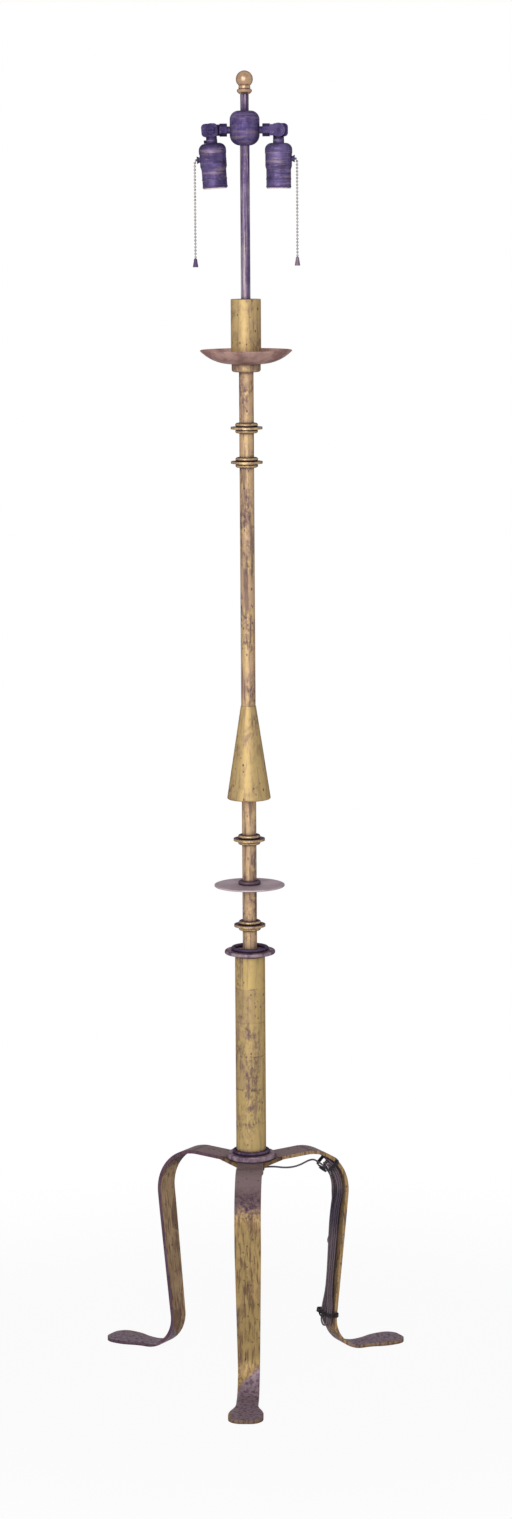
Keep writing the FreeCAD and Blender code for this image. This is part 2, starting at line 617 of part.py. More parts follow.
def build_candle():
    hole = "stem_radius + close_fit"
    turned("cup_collar", [
        (hole, "0"), ("collar_radius - collar_round", "0"), ("collar_radius", "collar_round"),
        ("collar_radius", "collar_height"), (hole, "collar_height")],
        {1: ("collar_round", 1)}, z=f"{STEM_TOP} - collar_height")
    lean = "asin((dish_radius - dish_flat) / dish_curve)"
    inner = "(dish_curve - dish_wall)"
    turned("bobeche", [
        (PIPE_HOLE, "0"), ("dish_flat", "0"), ("dish_radius", f"dish_curve * (1 - cos({lean}))"),
        (f"dish_flat + {inner} * sin({lean})", f"dish_curve - {inner} * cos({lean})"),
        ("dish_flat", "dish_wall"), (PIPE_HOLE, "dish_wall")],
        {1: ("dish_curve", 1), 3: (inner, -1)}, z=STEM_TOP)
    nut = cut("cup_nut", prism("cup_nut_hex", "nut_flats", "nut_height"),
              cylinder("cup_nut_bore", PIPE_HOLE, "nut_height + 2", z="-1"))
    keep(put(nut, z=DISH_FLOOR), "cup_nut")
    bore = "candle_radius - candle_wall"
    turned("candle_sleeve", [
        (bore, "0"), ("candle_radius", "0"), ("candle_radius", "candle_height - 1"),
        ("candle_radius - 1", "candle_height"), ("riser_radius + running_gap", "candle_height"),
        ("riser_radius + running_gap", "candle_height - candle_wall"), (bore, "candle_height - candle_wall")],
        {2: ("1", 1)}, z=DISH_FLOOR)
    tube("riser_tube", "riser_radius", "riser_radius - riser_wall", "riser_length", z=RISER_FOOT)


# ---------------------------------------------------------------- cluster body and top fitting
def build_cluster():
    radius, wall = "cluster_radius", "cluster_wall"
    low, high, seam, top = "cluster_bottom_round", "cluster_top_round", "cluster_seam", "cluster_height"
    cup = turned_body("cluster_cup_body", [
        (PIPE_HOLE, "0"), (f"{radius} - {low}", "0"), (radius, low), (radius, seam),
        (f"{radius} - {wall}", seam), (f"{radius} - {wall}", low), (f"{radius} - {low}", wall),
        (PIPE_HOLE, wall)], {1: (low, 1), 5: (f"{low} - {wall}", -1)})
    arms = cylinder("arm_holes", PIPE_HOLE, "cluster_radius * 2 + 4", x="-cluster_radius - 2", z="arm_rise",
                    pitch="90")
    keep(put(cut("cluster_cup", cup, arms), z=CLUSTER_FOOT), "cluster_cup")
    turned("cluster_cover", [
        (f"{radius} - {wall}", seam), (radius, seam), (radius, f"{top} - {high}"),
        (f"{radius} - {high}", top), (PIPE_HOLE, top), (PIPE_HOLE, f"{top} - {wall}"),
        (f"{radius} - {high}", f"{top} - {wall}"), (f"{radius} - {wall}", f"{top} - {high}")],
        {2: (high, 1), 6: (f"{high} - {wall}", -1)}, z=CLUSTER_FOOT)
    tube("cluster_pipe", "pipe_radius", "pipe_bore", f"{top} + 2 * cluster_pipe_stand",
         z=f"{CLUSTER_FOOT} - cluster_pipe_stand")
    turned("shade_stem", [
        (PIPE_HOLE, "0"), ("shade_stem_radius", "0"), ("shade_stem_radius", "shade_stem_length"),
        ("stud_radius", "shade_stem_length"), ("stud_radius", "shade_stem_length + stud_length"),
        ("0", "shade_stem_length + stud_length"), ("0", "cluster_pipe_stand + 1"),
        (PIPE_HOLE, "cluster_pipe_stand + 1")], z=CLUSTER_TOP)
    bore = "stud_radius + close_fit"
    neck = "finial_ball_rise - sqrt(finial_ball ^ 2 - finial_neck ^ 2)"
    turned("finial", [
        (bore, "0"), ("finial_flange - 3", "0"), ("finial_flange - 0.5", "2.6"), ("finial_flange", "4.2"),
        ("finial_flange - 0.5", "5.8"), ("finial_flange - 2.5", "6.8"), ("finial_flange - 2.2", "8.2"),
        ("finial_neck", neck), ("0", "finial_ball_rise + finial_ball"), ("0", "stud_length + 1.8"),
        (bore, "stud_length + 1.8")], {7: ("finial_ball", 1)}, z=f"{STUD_FOOT} + resting_gap")


# ---------------------------------------------------------------- knuckles
def build_arms():
    """The fixed halves of both knuckles: one casting, turned half round for the other side."""
    nipples, bases, screws = [], [], []
    for side, yaw in SIDES.items():
        place = {"x": f"cos({yaw}) * pivot_reach", "z": ARM_HEIGHT, "yaw": yaw}
        inner = "(pivot_reach - nipple_start)"
        nipple = cut(f"{side}_arm_nipple",
                     cylinder(f"{side}_arm_thread", "pipe_radius", f"{inner} - hex_outer - 1.6",
                              x=f"-{inner}", pitch="90"),
                     cylinder(f"{side}_arm_bore", "pipe_bore", f"{inner} - hex_outer + 2",
                              x=f"-{inner} - 1", pitch="90"))
        nipples.append(put(nipple, **place))
        bases.append(put(knuckle_base(side), **place))
        screws.append(put(pivot_screw(side), **place))
    keep(group("arm_nipples", nipples), "arm_nipples")
    keep(group("knuckle_bases", bases), "knuckle_bases")
    keep(group("pivot_screws", screws), "pivot_screws")


def knuckle_base(side):
    """Hexagon, bar and round end; the flat face lies at -running_gap."""
    far = "-running_gap - knuckle_width"
    solid = fuse(f"{side}_base_solid",
                 prism(f"{side}_hexagon", "hex_flats", "hex_inner - hex_outer", x="-hex_inner", pitch="90"),
                 box(f"{side}_bar", ("-hex_outer - 0.5", "0"), (far, "-running_gap"),
                     ("-tongue_half", "tongue_half")),
                 cylinder(f"{side}_round_end", "knuckle_radius", "knuckle_width",
                          y="-running_gap", roll="90"))
    holes = fuse(f"{side}_base_holes",
                 cylinder(f"{side}_base_bore", PIPE_HOLE, "hex_inner - hex_outer", x="-hex_inner - 1",
                          pitch="90"),
                 cylinder(f"{side}_base_pin_hole", "pivot_pin_radius + close_fit", "knuckle_width + 2",
                          y="-running_gap + 1", roll="90"))
    return cut(f"{side}_knuckle_base", solid, holes)


def pivot_screw(side):
    """Shank through both halves, slotted head on the moving half's side."""
    head = "(knuckle_width + 2 * running_gap)"
    solid = fuse(f"{side}_screw_solid",
                 cylinder(f"{side}_screw_shank", "pivot_pin_radius", "2 * knuckle_width + 2 * running_gap",
                          y=f"{head} + 0.5", roll="90"),
                 cylinder(f"{side}_screw_head", "pivot_head_radius", "pivot_head_height",
                          y=f"{head} + pivot_head_height", roll="90"))
    slot = box(f"{side}_screw_slot", ("-6", "6"), (f"{head} + pivot_head_height / 2", f"{head} + 4"),
               ("-slot_width / 2", "slot_width / 2"))
    return cut(f"{side}_pivot_screw", solid, slot)


def rounded_plate(label, left, right, half, corner, near, far):
    """A plate in the XZ plane with rounded corners, between two depths along +Y."""
    body = doc.addObject("PartDesign::Body", label)
    corners = [(f"{left} + {corner}", f"-({half})"), (f"{right} - {corner}", f"-({half})"),
               (right, f"{corner} - {half}"), (right, f"{half} - {corner}"),
               (f"{right} - {corner}", half), (f"{left} + {corner}", half),
               (left, f"{half} - {corner}"), (left, f"{corner} - {half}")]
    arcs = {number: (corner, 1) for number in (1, 3, 5, 7)}
    sketch = draw(body, label + "_outline", "XZ_Plane", corners, arcs, offset=f"-({near})")
    pad = body.newObject("PartDesign::Pad", label + "_pad")
    pad.Profile = (sketch, [""])
    pad.Reversed = True
    bound(pad, Length=f"{far} - ({near})")
    body.Tip = pad
    return body


def socket_place(side):
    """The pivot's place and turn: everything on the socket leans with it."""
    yaw = SIDES[side]
    return {"x": f"cos({yaw}) * pivot_reach", "z": ARM_HEIGHT, "yaw": yaw, "pitch": f"{side}_tilt"}


def build_swivel(side):
    label = f"{side}_knuckle_swivel"
    block = rounded_plate(f"{side}_swivel_block", "-swivel_inner", "swivel_outer", "swivel_half",
                          "swivel_round", "running_gap", "running_gap + knuckle_width")
    neck = cylinder(f"{side}_neck", "neck_radius", "neck_drop - neck_top", z="-neck_drop")
    root = cut(f"{side}_neck_root",
               cylinder(f"{side}_neck_post", "neck_radius", "neck_drop - 5", z="-neck_drop"),
               box(f"{side}_neck_clear", ("-10", "10"), ("-10", "running_gap"), ("-20", "0")))
    nipple = cylinder(f"{side}_neck_nipple", "pipe_radius", "nipple_length", z="-neck_drop - nipple_length")
    holes = fuse(f"{side}_swivel_holes",
                 cylinder(f"{side}_neck_bore", "pipe_bore", "neck_drop + nipple_length - 5",
                          z="-neck_drop - nipple_length - 1"),
                 cylinder(f"{side}_swivel_pin_hole", "pivot_pin_radius + close_fit", "knuckle_width + 2",
                          y="running_gap + knuckle_width + 1", roll="90"))
    solid = fuse(f"{side}_swivel_solid", block, neck, root, nipple)
    keep(put(cut(label, solid, holes), **socket_place(side)), label)


# ---------------------------------------------------------------- sockets
def build_socket(side):
    place = socket_place(side)
    turn = SET_SCREW_TURN[side]
    hub, dome, wall = "cap_hub_radius", "socket_cap_round", "socket_wall"
    base = "(-neck_drop - cap_hub_height)"
    edge = f"({base} - {dome})"
    skirt = f"({edge} - socket_cap_skirt)"
    flat = f"socket_cap_radius - {dome}"
    inside = f"socket_cap_radius - {wall}"
    cap = turned_body(f"{side}_cap_body", [
        (PIPE_HOLE, "-neck_drop"), (hub, "-neck_drop"), (hub, base), (flat, base),
        ("socket_cap_radius", edge), ("socket_cap_radius", skirt), (inside, skirt), (inside, edge),
        (flat, f"{base} - {wall}"), (PIPE_HOLE, f"{base} - {wall}")],
        {3: (dome, -1), 7: (f"{dome} - {wall}", 1)})
    screw_height = "(-neck_drop - cap_hub_height / 2)"
    cap_hole = cylinder(f"{side}_cap_screw_hole", "set_screw_radius + close_fit", "12", z=screw_height,
                        yaw=turn, pitch="90")
    keep(put(cut(f"{side}_socket_cap", cap, cap_hole), **place), f"{side}_socket_cap")
    start = PIPE_HOLE
    screw = fuse(f"{side}_set_screw",
                 cylinder(f"{side}_set_shank", "set_screw_radius", f"{hub} - {start} + 0.5",
                          x=f"cos({turn}) * ({start})", y=f"sin({turn}) * ({start})", z=screw_height,
                          yaw=turn, pitch="90"),
                 cylinder(f"{side}_set_head", "set_screw_head", "set_screw_head_length",
                          x=f"cos({turn}) * ({hub})", y=f"sin({turn}) * ({hub})", z=screw_height,
                          yaw=turn, pitch="90"))
    keep(put(screw, **place), f"{side}_set_screw")
    build_shell(side, place, skirt, inside)
    turned(f"{side}_socket_liner", sleeve_corners(
        "shell_lower_radius - shell_wall - close_fit", "liner_wall", "-shell_end - liner_stand",
        "-shell_end - liner_stand + liner_length"), **place)
    body = turned_body(f"{side}_switch_solid", [
        ("0", "-switch_end"), ("switch_radius", "-switch_end"), ("switch_radius", "-switch_top - 2"),
        ("switch_radius - 2", "-switch_top"), ("0", "-switch_top")], {2: ("2", 1)})
    hole = cylinder(f"{side}_switch_hole", "guide_radius + close_fit", "12", x="guide_seat", z="-guide_drop",
                    pitch="90")
    keep(put(cut(f"{side}_switch_body", body, hole), **place), f"{side}_switch_body")
    thread_end = "-switch_end - contact_height - contact_clear"
    turned(f"{side}_screw_shell", [
        ("screw_shell_bore", "-switch_end - screw_shell_length"),
        ("screw_shell_bore + screw_shell_wall", "-switch_end - screw_shell_length"),
        ("screw_shell_bore + screw_shell_wall", thread_end),
        ("screw_shell_bore + screw_shell_wall - screw_shell_turn_in", "-switch_end"),
        ("screw_shell_bore - screw_shell_turn_in", "-switch_end"),
        ("screw_shell_bore", thread_end)], **place)
    turned(f"{side}_contact", [
        ("0", "-switch_end - contact_height"), ("contact_radius - 1.2", "-switch_end - contact_height"),
        ("contact_radius", "-switch_end - contact_height + 1.2"), ("contact_radius", "-switch_end"),
        ("0", "-switch_end")], {1: ("1.2", 1)}, **place)


def sleeve_corners(outer, wall, low, high):
    return [(f"{outer} - {wall}", low), (outer, low), (outer, high), (f"{outer} - {wall}", high)]


def build_shell(side, place, skirt, inside):
    """Thin shell: neck inside the cap, full upper part, taper, and two rolled beads."""
    wall, upper, lower = "shell_wall", "shell_upper_radius", "shell_lower_radius"
    neck = f"({inside} - close_fit)"
    taper = "(-shell_shoulder - shell_taper)"
    last = "(-shell_end + 2 * bead_half)"
    top = f"({skirt} + 3.6)"
    outline = [
        (neck, top), (f"{neck} - {wall}", top), (f"{neck} - {wall}", f"{skirt} - {wall}"),
        (f"{upper} - {wall}", f"{skirt} - {wall}"), (f"{upper} - {wall}", "-shell_shoulder"),
        (f"{lower} - {wall}", taper), (f"{lower} - {wall}", "-shell_end"), (lower, "-shell_end"),
        (lower, last), (lower, "-bead_drop - bead_half"), (lower, "-bead_drop + bead_half"),
        (lower, taper), (upper, "-shell_shoulder"), (upper, skirt), (neck, skirt)]
    bead = "(bead_half ^ 2 + bead_height ^ 2) / (2 * bead_height)"
    shell = turned_body(f"{side}_shell_body", outline, {7: (bead, 1), 9: (bead, 1)})
    hole = cylinder(f"{side}_shell_hole", "guide_radius + running_gap", "30", z="-guide_drop", pitch="90")
    keep(put(cut(f"{side}_socket_shell", shell, hole), **place), f"{side}_socket_shell")


# ---------------------------------------------------------------- pull chains
def build_pull(side):
    place = socket_place(side)
    bell_start = "guide_reach - 3.1"
    guide = turned_body(f"{side}_chain_guide", [
        ("guide_seat", "guide_bore"), (f"{bell_start} - 0.6", "guide_bore"),
        ("guide_reach", "guide_mouth - 0.6"), ("guide_reach", "guide_mouth"),
        (bell_start, "guide_radius"), ("guide_seat", "guide_radius")], axis="H_Axis", drop="guide_drop")
    keep(put(guide, **place), f"{side}_chain_guide")
    beads = [put(bound(doc.addObject("Part::Sphere", f"{side}_link_bead_{number}"), Radius="chain_bead"),
                 x=f"{LINK_END} - {number} * chain_pitch", z="-guide_drop") for number in range(3)]
    rod = cylinder(f"{side}_link_rod", "chain_wire", f"{LINK_END} - guide_seat - 2.8",
                   x="guide_seat + 2.8", z="-guide_drop", pitch="90")
    keep(put(fuse(f"{side}_pull_link", rod, *beads), **place), f"{side}_pull_link")
    build_chain(side)


LINK_END = "(guide_reach + 1.3)"


def build_chain(side):
    """The hanging chain: beads on short wires, in one piece, below the pull link's last bead."""
    yaw, tilt = SIDES[side], f"{side}_tilt"
    # the last bead of the link, which leans with the socket, seen from the pivot
    out = f"({LINK_END} * cos({tilt}) - guide_drop * sin({tilt}))"
    down = f"(guide_drop * cos({tilt}) + {LINK_END} * sin({tilt}))"
    place = {"x": f"cos({yaw}) * (pivot_reach + {out})", "z": f"{ARM_HEIGHT} - {down}", "yaw": yaw}
    body = doc.addObject("PartDesign::Body", f"{side}_bead_row")
    # one bead with its wire to the next, turned about the row and repeated downwards
    reach = "sqrt(chain_bead ^ 2 - chain_wire ^ 2)"
    corners = [("0", "chain_bead"), ("0", f"-chain_pitch + {reach} - 0.2"),
               ("chain_wire", f"-chain_pitch + {reach} - 0.2"), ("chain_wire", f"-({reach})")]
    sketch = draw(body, f"{side}_bead_section", "XZ_Plane", corners, {3: ("chain_bead", 1)})
    bead = body.newObject("PartDesign::Revolution", f"{side}_bead")
    bead.Profile = (sketch, [""])
    bead.ReferenceAxis = (sketch, ["V_Axis"])
    bead.Angle = 360
    row = body.newObject("PartDesign::LinearPattern", f"{side}_beads")
    row.Originals = [bead]
    row.Direction = (sketch, ["V_Axis"])
    row.Reversed = True
    bound(row, Length="chain_pitch * (chain_beads - 2)", Occurrences="chain_beads - 1")
    body.Tip = row
    put(body, x="chain_first_out", z="-chain_first_drop")
    last = put(bound(doc.addObject("Part::Sphere", f"{side}_last_bead"), Radius="chain_bead"),
               x="chain_first_out", z="-chain_first_drop - (chain_beads - 1) * chain_pitch")
    # the first wire leans towards the link's bead and stops just short of it
    span = "sqrt(chain_first_out ^ 2 + chain_first_drop ^ 2)"
    hook = cylinder(f"{side}_chain_hook", "chain_wire", f"{span} - chain_bead - running_gap",
                    x="chain_first_out", z="-chain_first_drop",
                    pitch="-atan(chain_first_out / chain_first_drop)")
    keep(put(fuse(f"{side}_chain", body, last, hook), **place), f"{side}_chain")
    top = "-chain_first_drop - (chain_beads - 1) * chain_pitch + bell_seat"
    cavity = "(chain_bead + close_fit)"
    bell = turned_body(f"{side}_bell_body", [
        ("chain_wire + close_fit", "0"), ("chain_wire + close_fit", "-0.9"), (cavity, "-0.9"),
        (cavity, "-bell_seat - 1"), ("bell_radius - 0.5", "-bell_length"), ("bell_radius", "-bell_length"),
        ("bell_neck + 0.3", "-3.4"), ("bell_neck", "-0.8"), ("bell_neck - 0.8", "0")])
    put(bell, x="chain_first_out", z=top)
    keep(put(fuse(f"{side}_chain_bell", bell), **place), f"{side}_chain_bell")


# ---------------------------------------------------------------- supply cord
def leg_point(r, z, side=0.0):
    """A point given by its reach along the cord's leg, its height and its offset to the side."""
    angle = math.radians(CORD_LEG)
    return vector(r * math.cos(angle) - side * math.sin(angle),
                  r * math.sin(angle) + side * math.cos(angle), z)


def strap_point(drop, off, side=0.0):
    """A point below the knee bend: so far down the shank, off its inner face and to the side."""
    lean = math.radians(value("leg_lean"))
    reach = value("knee_radius - leg_thickness") - off
    r = value("knee_centre") + reach * math.cos(lean) - drop * math.sin(lean)
    z = value("arch_height - knee_radius") - reach * math.sin(lean) - drop * math.cos(lean)
    return leg_point(r, z, side)


def knee_point(angle, off, side=0.0, ahead=0.0):
    """A point inside the knee bend, at an angle from its top, and so far ahead on the tangent."""
    turn = math.radians(angle)
    reach = value("knee_radius - leg_thickness") - off
    r = value("knee_centre") + reach * math.sin(turn) + ahead * math.cos(turn)
    z = value("arch_height - knee_radius") + reach * math.cos(turn) - ahead * math.sin(turn)
    return leg_point(r, z, side)


def direction(start, end):
    return (end - start).normalize()


def biarc(start, start_way, end, end_way):
    """Two arcs, or one line, that leave and arrive along the given directions."""
    span = end - start
    if span.normalize().cross(start_way).Length < 1e-7 and start_way.cross(end_way).Length < 1e-7:
        return [Part.LineSegment(start, end)]
    span = end - start
    both = span.dot(start_way + end_way)
    spread = 1 - start_way.dot(end_way)
    if spread < 1e-9:
        leg = span.dot(span) / (2 * both)
    else:
        leg = (math.sqrt(both ** 2 + 2 * spread * span.dot(span)) - both) / (2 * spread)
    first, second = start + start_way * leg, end - end_way * leg
    joint = (first + second) * 0.5
    return [corner_arc(start, first, joint), corner_arc(joint, second, end)]


def corner_arc(start, corner, end):
    """The arc from start to end whose tangents meet in the corner."""
    weight = (end - start).Length / 2 / (corner - start).Length
    middle = (start + end + corner * (2 * weight)) * (0.5 / (1 + weight))
    return Part.Arc(start, middle, end)


def hank_stations():
    """Points and directions along the hank, from the lead to the tail."""
    pitch, seat, wide = value("hank_pitch"), value("hank_seat"), value("fold_radius")
    narrow, top = value("waist_half"), value("hank_top_angle")
    lean = value("90 + leg_lean")
    draw_in = value("waist_from")
    waist = draw_in + value("waist_step")
    waist_end = waist + value("waist_length")
    let_out = waist_end + value("waist_step")
    climb = value("climb_from")
    climb_end = climb + value("climb_length")
    reach = value("hank_reach")
    down = direction(strap_point(0, 0), strap_point(1, 0))
    across = leg_point(0, 0, 1)
    layers = [seat + pitch * number for number in range(HANK_LOOPS, -1, -1)]
    lead = value("lead_angle")
    start = knee_point(lead, layers[0])
    along = direction(start, knee_point(lead, layers[0], ahead=1))
    stations = [(start - along * 2 * value("cord_radius"), along), (start, along),
                (knee_point(lean, layers[0]), down), (strap_point(draw_in, layers[0]), down)]
    for number in range(HANK_LOOPS):
        upper, lower = layers[number], layers[number + 1]
        stations += [(strap_point(waist, upper, narrow), down), (strap_point(climb, upper, narrow), down),
                     (strap_point(climb_end, lower, narrow), down),
                     (strap_point(waist_end, lower, narrow), down),
                     (strap_point(let_out, lower, wide), down), (strap_point(reach, lower, wide), down),
                     (strap_point(reach + wide, lower), across * -1),
                     (strap_point(reach, lower, -wide), down * -1),
                     (strap_point(let_out, lower, -wide), down * -1),
                     (strap_point(waist_end, lower, -narrow), down * -1),
                     (strap_point(waist, lower, -narrow), down * -1),
                     (strap_point(draw_in, lower, -wide), down * -1),
                     (knee_point(lean, lower, -wide), down * -1)]
        over = direction(knee_point(top, lower), knee_point(top, lower, ahead=1))
        stations += [(knee_point(top, lower, -wide), over * -1),
                     (knee_point(top, lower, ahead=-wide), across), (knee_point(top, lower, wide), over),
                     (knee_point(lean, lower, wide), down), (strap_point(draw_in, lower, wide), down)]
    stations += [(strap_point(waist, seat, narrow), down),
                 (strap_point(value("tail_start"), seat, narrow), down)]
    aside = across * value("hank_side")
    return [(point + aside, way) for point, way in stations]


def rounded_route(points):
    """Straight runs joined by arcs whose tangents are 0.45 of the shorter run."""
    pieces, at = [], points[0]
    radii = []
    for before, corner, after in zip(points, points[1:], points[2:]):
        arrive, leave = direction(before, corner), direction(corner, after)
        cut_back = 0.45 * min((corner - before).Length, (after - corner).Length)
        start, end = corner - arrive * cut_back, corner + leave * cut_back
        pieces += [Part.LineSegment(at, start), corner_arc(start, corner, end)]
        radii.append(cut_back / math.tan(arrive.getAngle(leave) / 2))
        at = end
    return pieces + [Part.LineSegment(at, points[-1])], radii


def cord_solid(label, pieces):
    """A round cord swept along lines and arcs."""
    spine = doc.addObject("Part::Feature", label + "_route")
    spine.Shape = Part.Wire([piece.toShape() for piece in pieces])
    start = pieces[0].StartPoint
    way = direction(start, pieces[0].EndPoint)
    section = bound(doc.addObject("Part::Circle", label + "_section"), Radius="cord_radius")
    section.Placement = FreeCAD.Placement(start, FreeCAD.Rotation(vector(0, 0, 1), way))
    sweep = doc.addObject("Part::Sweep", label)
    sweep.Sections = [section]
    sweep.Spine = spine
    sweep.Solid = True
    sweep.Frenet = False
    return keep(sweep, label)


def least_gap(pieces, diameter):
    """Least distance between parts of the route that are not neighbours, less the diameter."""
    points, run = [], []
    length = 0.0
    for piece in pieces:
        shape = piece.toShape()
        count = max(2, int(shape.Length / 0.8))
        points += shape.discretize(Number=count)[:-1]
        run += [length + shape.Length * number / (count - 1) for number in range(count - 1)]
        length += shape.Length
    cells = {}
    for number, point in enumerate(points):
        cells.setdefault(tuple(int(axis // 6) for axis in point), []).append(number)
    least = 1e9
    steps = [(a, b, c) for a in (-1, 0, 1) for b in (-1, 0, 1) for c in (-1, 0, 1)]
    for (a, b, c), members in cells.items():
        near = [n for i, j, k in steps for n in cells.get((a + i, b + j, c + k), [])]
        for first in members:
            for second in near:
                if run[second] - run[first] > 4 * diameter:
                    least = min(least, points[first].distanceToPoint(points[second]))
    return least - diameter, length


def build_cord():
    diameter = 2 * value("cord_radius")
    stations = hank_stations()
    hank = []
    for (start, start_way), (end, end_way) in zip(stations, stations[1:]):
        hank += biarc(start, start_way, end, end_way)
    radii = [piece.toShape().Curve.Radius for piece in hank if isinstance(piece, Part.Arc)]
    gap, length = least_gap(hank, diameter)
    print("hank: %d turns, length %.0f, least bend %.1f, least gap %.2f"
          % (HANK_LOOPS, length, min(radii), gap))
    cord_solid("cord_hank", hank)
    drop = LEG_UNDER + " - bushing_drop"
    exit_point = leg_point(value("nut_flange_radius - 1"), value(drop))
    join, way = stations[0]
    height = value(drop)
    lead = [exit_point, leg_point(31.0, height), leg_point(53.0, height - 5.6), leg_point(73.0, height - 5.6),
            join - way * 12.0, join]
    pieces, radii = rounded_route(lead)
    print("lead bends " + ", ".join("%.1f" % radius for radius in radii))
    cord_solid("cord_lead", pieces)
    start = value("tail_start")
    seat = value("hank_seat")
    plug = value("plug_drop")
    side, behind = value("plug_side"), -value("plug_behind")
    edge = value("hank_side + waist_half")
    tail = [strap_point(start, seat, edge), strap_point(start + 11, seat, edge),
            strap_point(start + 30, seat, 20.5), strap_point(start + 44, -8.0, 21.5),
            strap_point(plug - 10, behind, side), strap_point(plug, behind, side)]
    pieces, radii = rounded_route(tail)
    print("tail bends " + ", ".join("%.1f" % radius for radius in radii))
    cord_solid("cord_tail", pieces)


# Below the knee bend, in the cord leg's own frame: where the shank's inner face starts
SHANK_R = "(knee_centre + (knee_radius - leg_thickness) * cos(leg_lean))"
SHANK_Z = "(arch_height - knee_radius - (knee_radius - leg_thickness) * sin(leg_lean))"


def on_leg(r, z, side="0", pitch="0"):
    """A placement in the cord leg's frame."""
    return {"x": f"({r}) * cos({CORD_LEG}) - ({side}) * sin({CORD_LEG})",
            "y": f"({r}) * sin({CORD_LEG}) + ({side}) * cos({CORD_LEG})",
            "z": z, "yaw": CORD_LEG, "pitch": pitch}


def build_plug():
    place = on_leg(f"{SHANK_R} + plug_behind * cos(leg_lean) - plug_drop * sin(leg_lean)",
                   f"{SHANK_Z} - plug_behind * sin(leg_lean) - plug_drop * cos(leg_lean)",
                   "plug_side", "leg_lean")
    body = doc.addObject("PartDesign::Body", "plug")
    across, thick, corner = "(plug_width / 2)", "(plug_thickness / 2)", "4"
    corners = [(f"{corner} - {thick}", f"-{across}"), (f"{thick} - {corner}", f"-{across}"),
               (thick, f"{corner} - {across}"), (thick, f"{across} - {corner}"),
               (f"{thick} - {corner}", across), (f"{corner} - {thick}", across),
               (f"-{thick}", f"{across} - {corner}"), (f"-{thick}", f"{corner} - {across}")]
    outline = draw(body, "plug_outline", "XY_Plane", corners, {n: (corner, 1) for n in (1, 3, 5, 7)})
    pad = body.newObject("PartDesign::Pad", "plug_pad")
    pad.Profile = (outline, [""])
    pad.Reversed = True
    bound(pad, Length="plug_length")
    body.Tip = pad
    keep(put(body, **place), "plug")
    blades = [box(f"plug_blade_{number}", ("-blade_width / 2", "blade_width / 2"),
                  (f"{number} * blade_spacing / 2 - blade_thickness / 2",
                   f"{number} * blade_spacing / 2 + blade_thickness / 2"),
                  ("-plug_length - blade_length", "-plug_length")) for number in (-1, 1)]
    keep(put(group("plug_blades", blades), **place), "plug_blades")


def build_ties():
    """Two bands round the strap and the hank."""
    gap, wall = "0.25", "tie_wall"
    side = f"leg_width / 2 + {gap}"
    thickness = f"leg_thickness + {gap}"
    upper = f"hank_seat + {HANK_LOOPS} * hank_pitch + cord_radius + {gap}"
    lower = f"hank_seat + {HANK_LOOPS - 1} * hank_pitch + cord_radius + {gap}"
    inner = "(knee_radius - leg_thickness)"
    bands = [
        band("upper_tie", f"{inner} - ({upper})", f"{inner} + {thickness}", side, wall,
             on_leg("knee_centre", "arch_height - knee_radius", "0", "upper_tie_angle - 90")),
        band("lower_tie", f"-({lower})", thickness, side, wall,
             on_leg(f"{SHANK_R} - lower_tie_drop * sin(leg_lean)",
                    f"{SHANK_Z} - lower_tie_drop * cos(leg_lean)", "0", "leg_lean"))]
    keep(group("cord_ties", bands), "cord_ties")


def band(name, near, far, side, wall, place):
    across, height = f"({side} + {wall})", "tie_width / 2"
    outer = box(name + "_outer", (f"{near} - {wall}", f"{far} + {wall}"), (f"-{across}", across),
                (f"-{height}", height))
    inner = box(name + "_inner", (near, far), (f"-({side})", side), (f"-{height} - 1", f"{height} + 1"))
    return put(cut(name, outer, inner), **place)


# ---------------------------------------------------------------- build, check and write
for leg_name, leg_angle in LEG_ANGLES.items():
    leg(leg_name, leg_angle, "front_foot_reach" if leg_name == "front_leg" else "foot_reach")
build_hub()
build_column()
build_stem()
build_candle()
build_cluster()
build_arms()
for name in SIDES:
    build_swivel(name)
    build_socket(name)
    build_pull(name)
build_cord()
build_plug()
build_ties()
doc.recompute()

for item in doc.Objects:
    if "Invalid" in item.State or "Error" in item.State:
        raise RuntimeError("%s is %s" % (item.Label, item.State))
os.makedirs("parts", exist_ok=True)
for item in subparts:
    if item.Shape.isNull() or not item.Shape.isValid() or not item.Shape.Solids:
        raise RuntimeError(item.Label + " has no valid shape")
    item.Shape.exportStep("parts/%s.step" % item.Label)
print("%d sub-parts written" % len(subparts))
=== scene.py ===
import math

import bpy
from mathutils import Matrix, Vector


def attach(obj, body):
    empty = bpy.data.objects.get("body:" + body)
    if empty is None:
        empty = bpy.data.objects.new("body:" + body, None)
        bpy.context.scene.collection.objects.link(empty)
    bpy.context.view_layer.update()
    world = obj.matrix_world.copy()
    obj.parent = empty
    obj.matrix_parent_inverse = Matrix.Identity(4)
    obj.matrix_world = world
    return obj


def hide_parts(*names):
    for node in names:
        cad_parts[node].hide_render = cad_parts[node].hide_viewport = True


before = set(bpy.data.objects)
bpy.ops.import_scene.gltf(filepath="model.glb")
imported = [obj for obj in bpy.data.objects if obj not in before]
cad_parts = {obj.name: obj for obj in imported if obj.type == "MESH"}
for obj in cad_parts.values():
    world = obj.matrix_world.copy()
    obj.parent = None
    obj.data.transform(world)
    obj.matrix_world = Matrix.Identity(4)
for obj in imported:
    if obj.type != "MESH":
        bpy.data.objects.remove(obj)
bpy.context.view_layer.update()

bl_info = {
    "name": "Candlestick Floor Lamp",
    "version": (1, 0, 0),
    "blender": (4, 5, 0),
    "location": "View3D > Sidebar > Lamp",
    "description": "Finishes, supply cord, ties and studio for the packed candlestick floor lamp",
    "category": "Object",
}


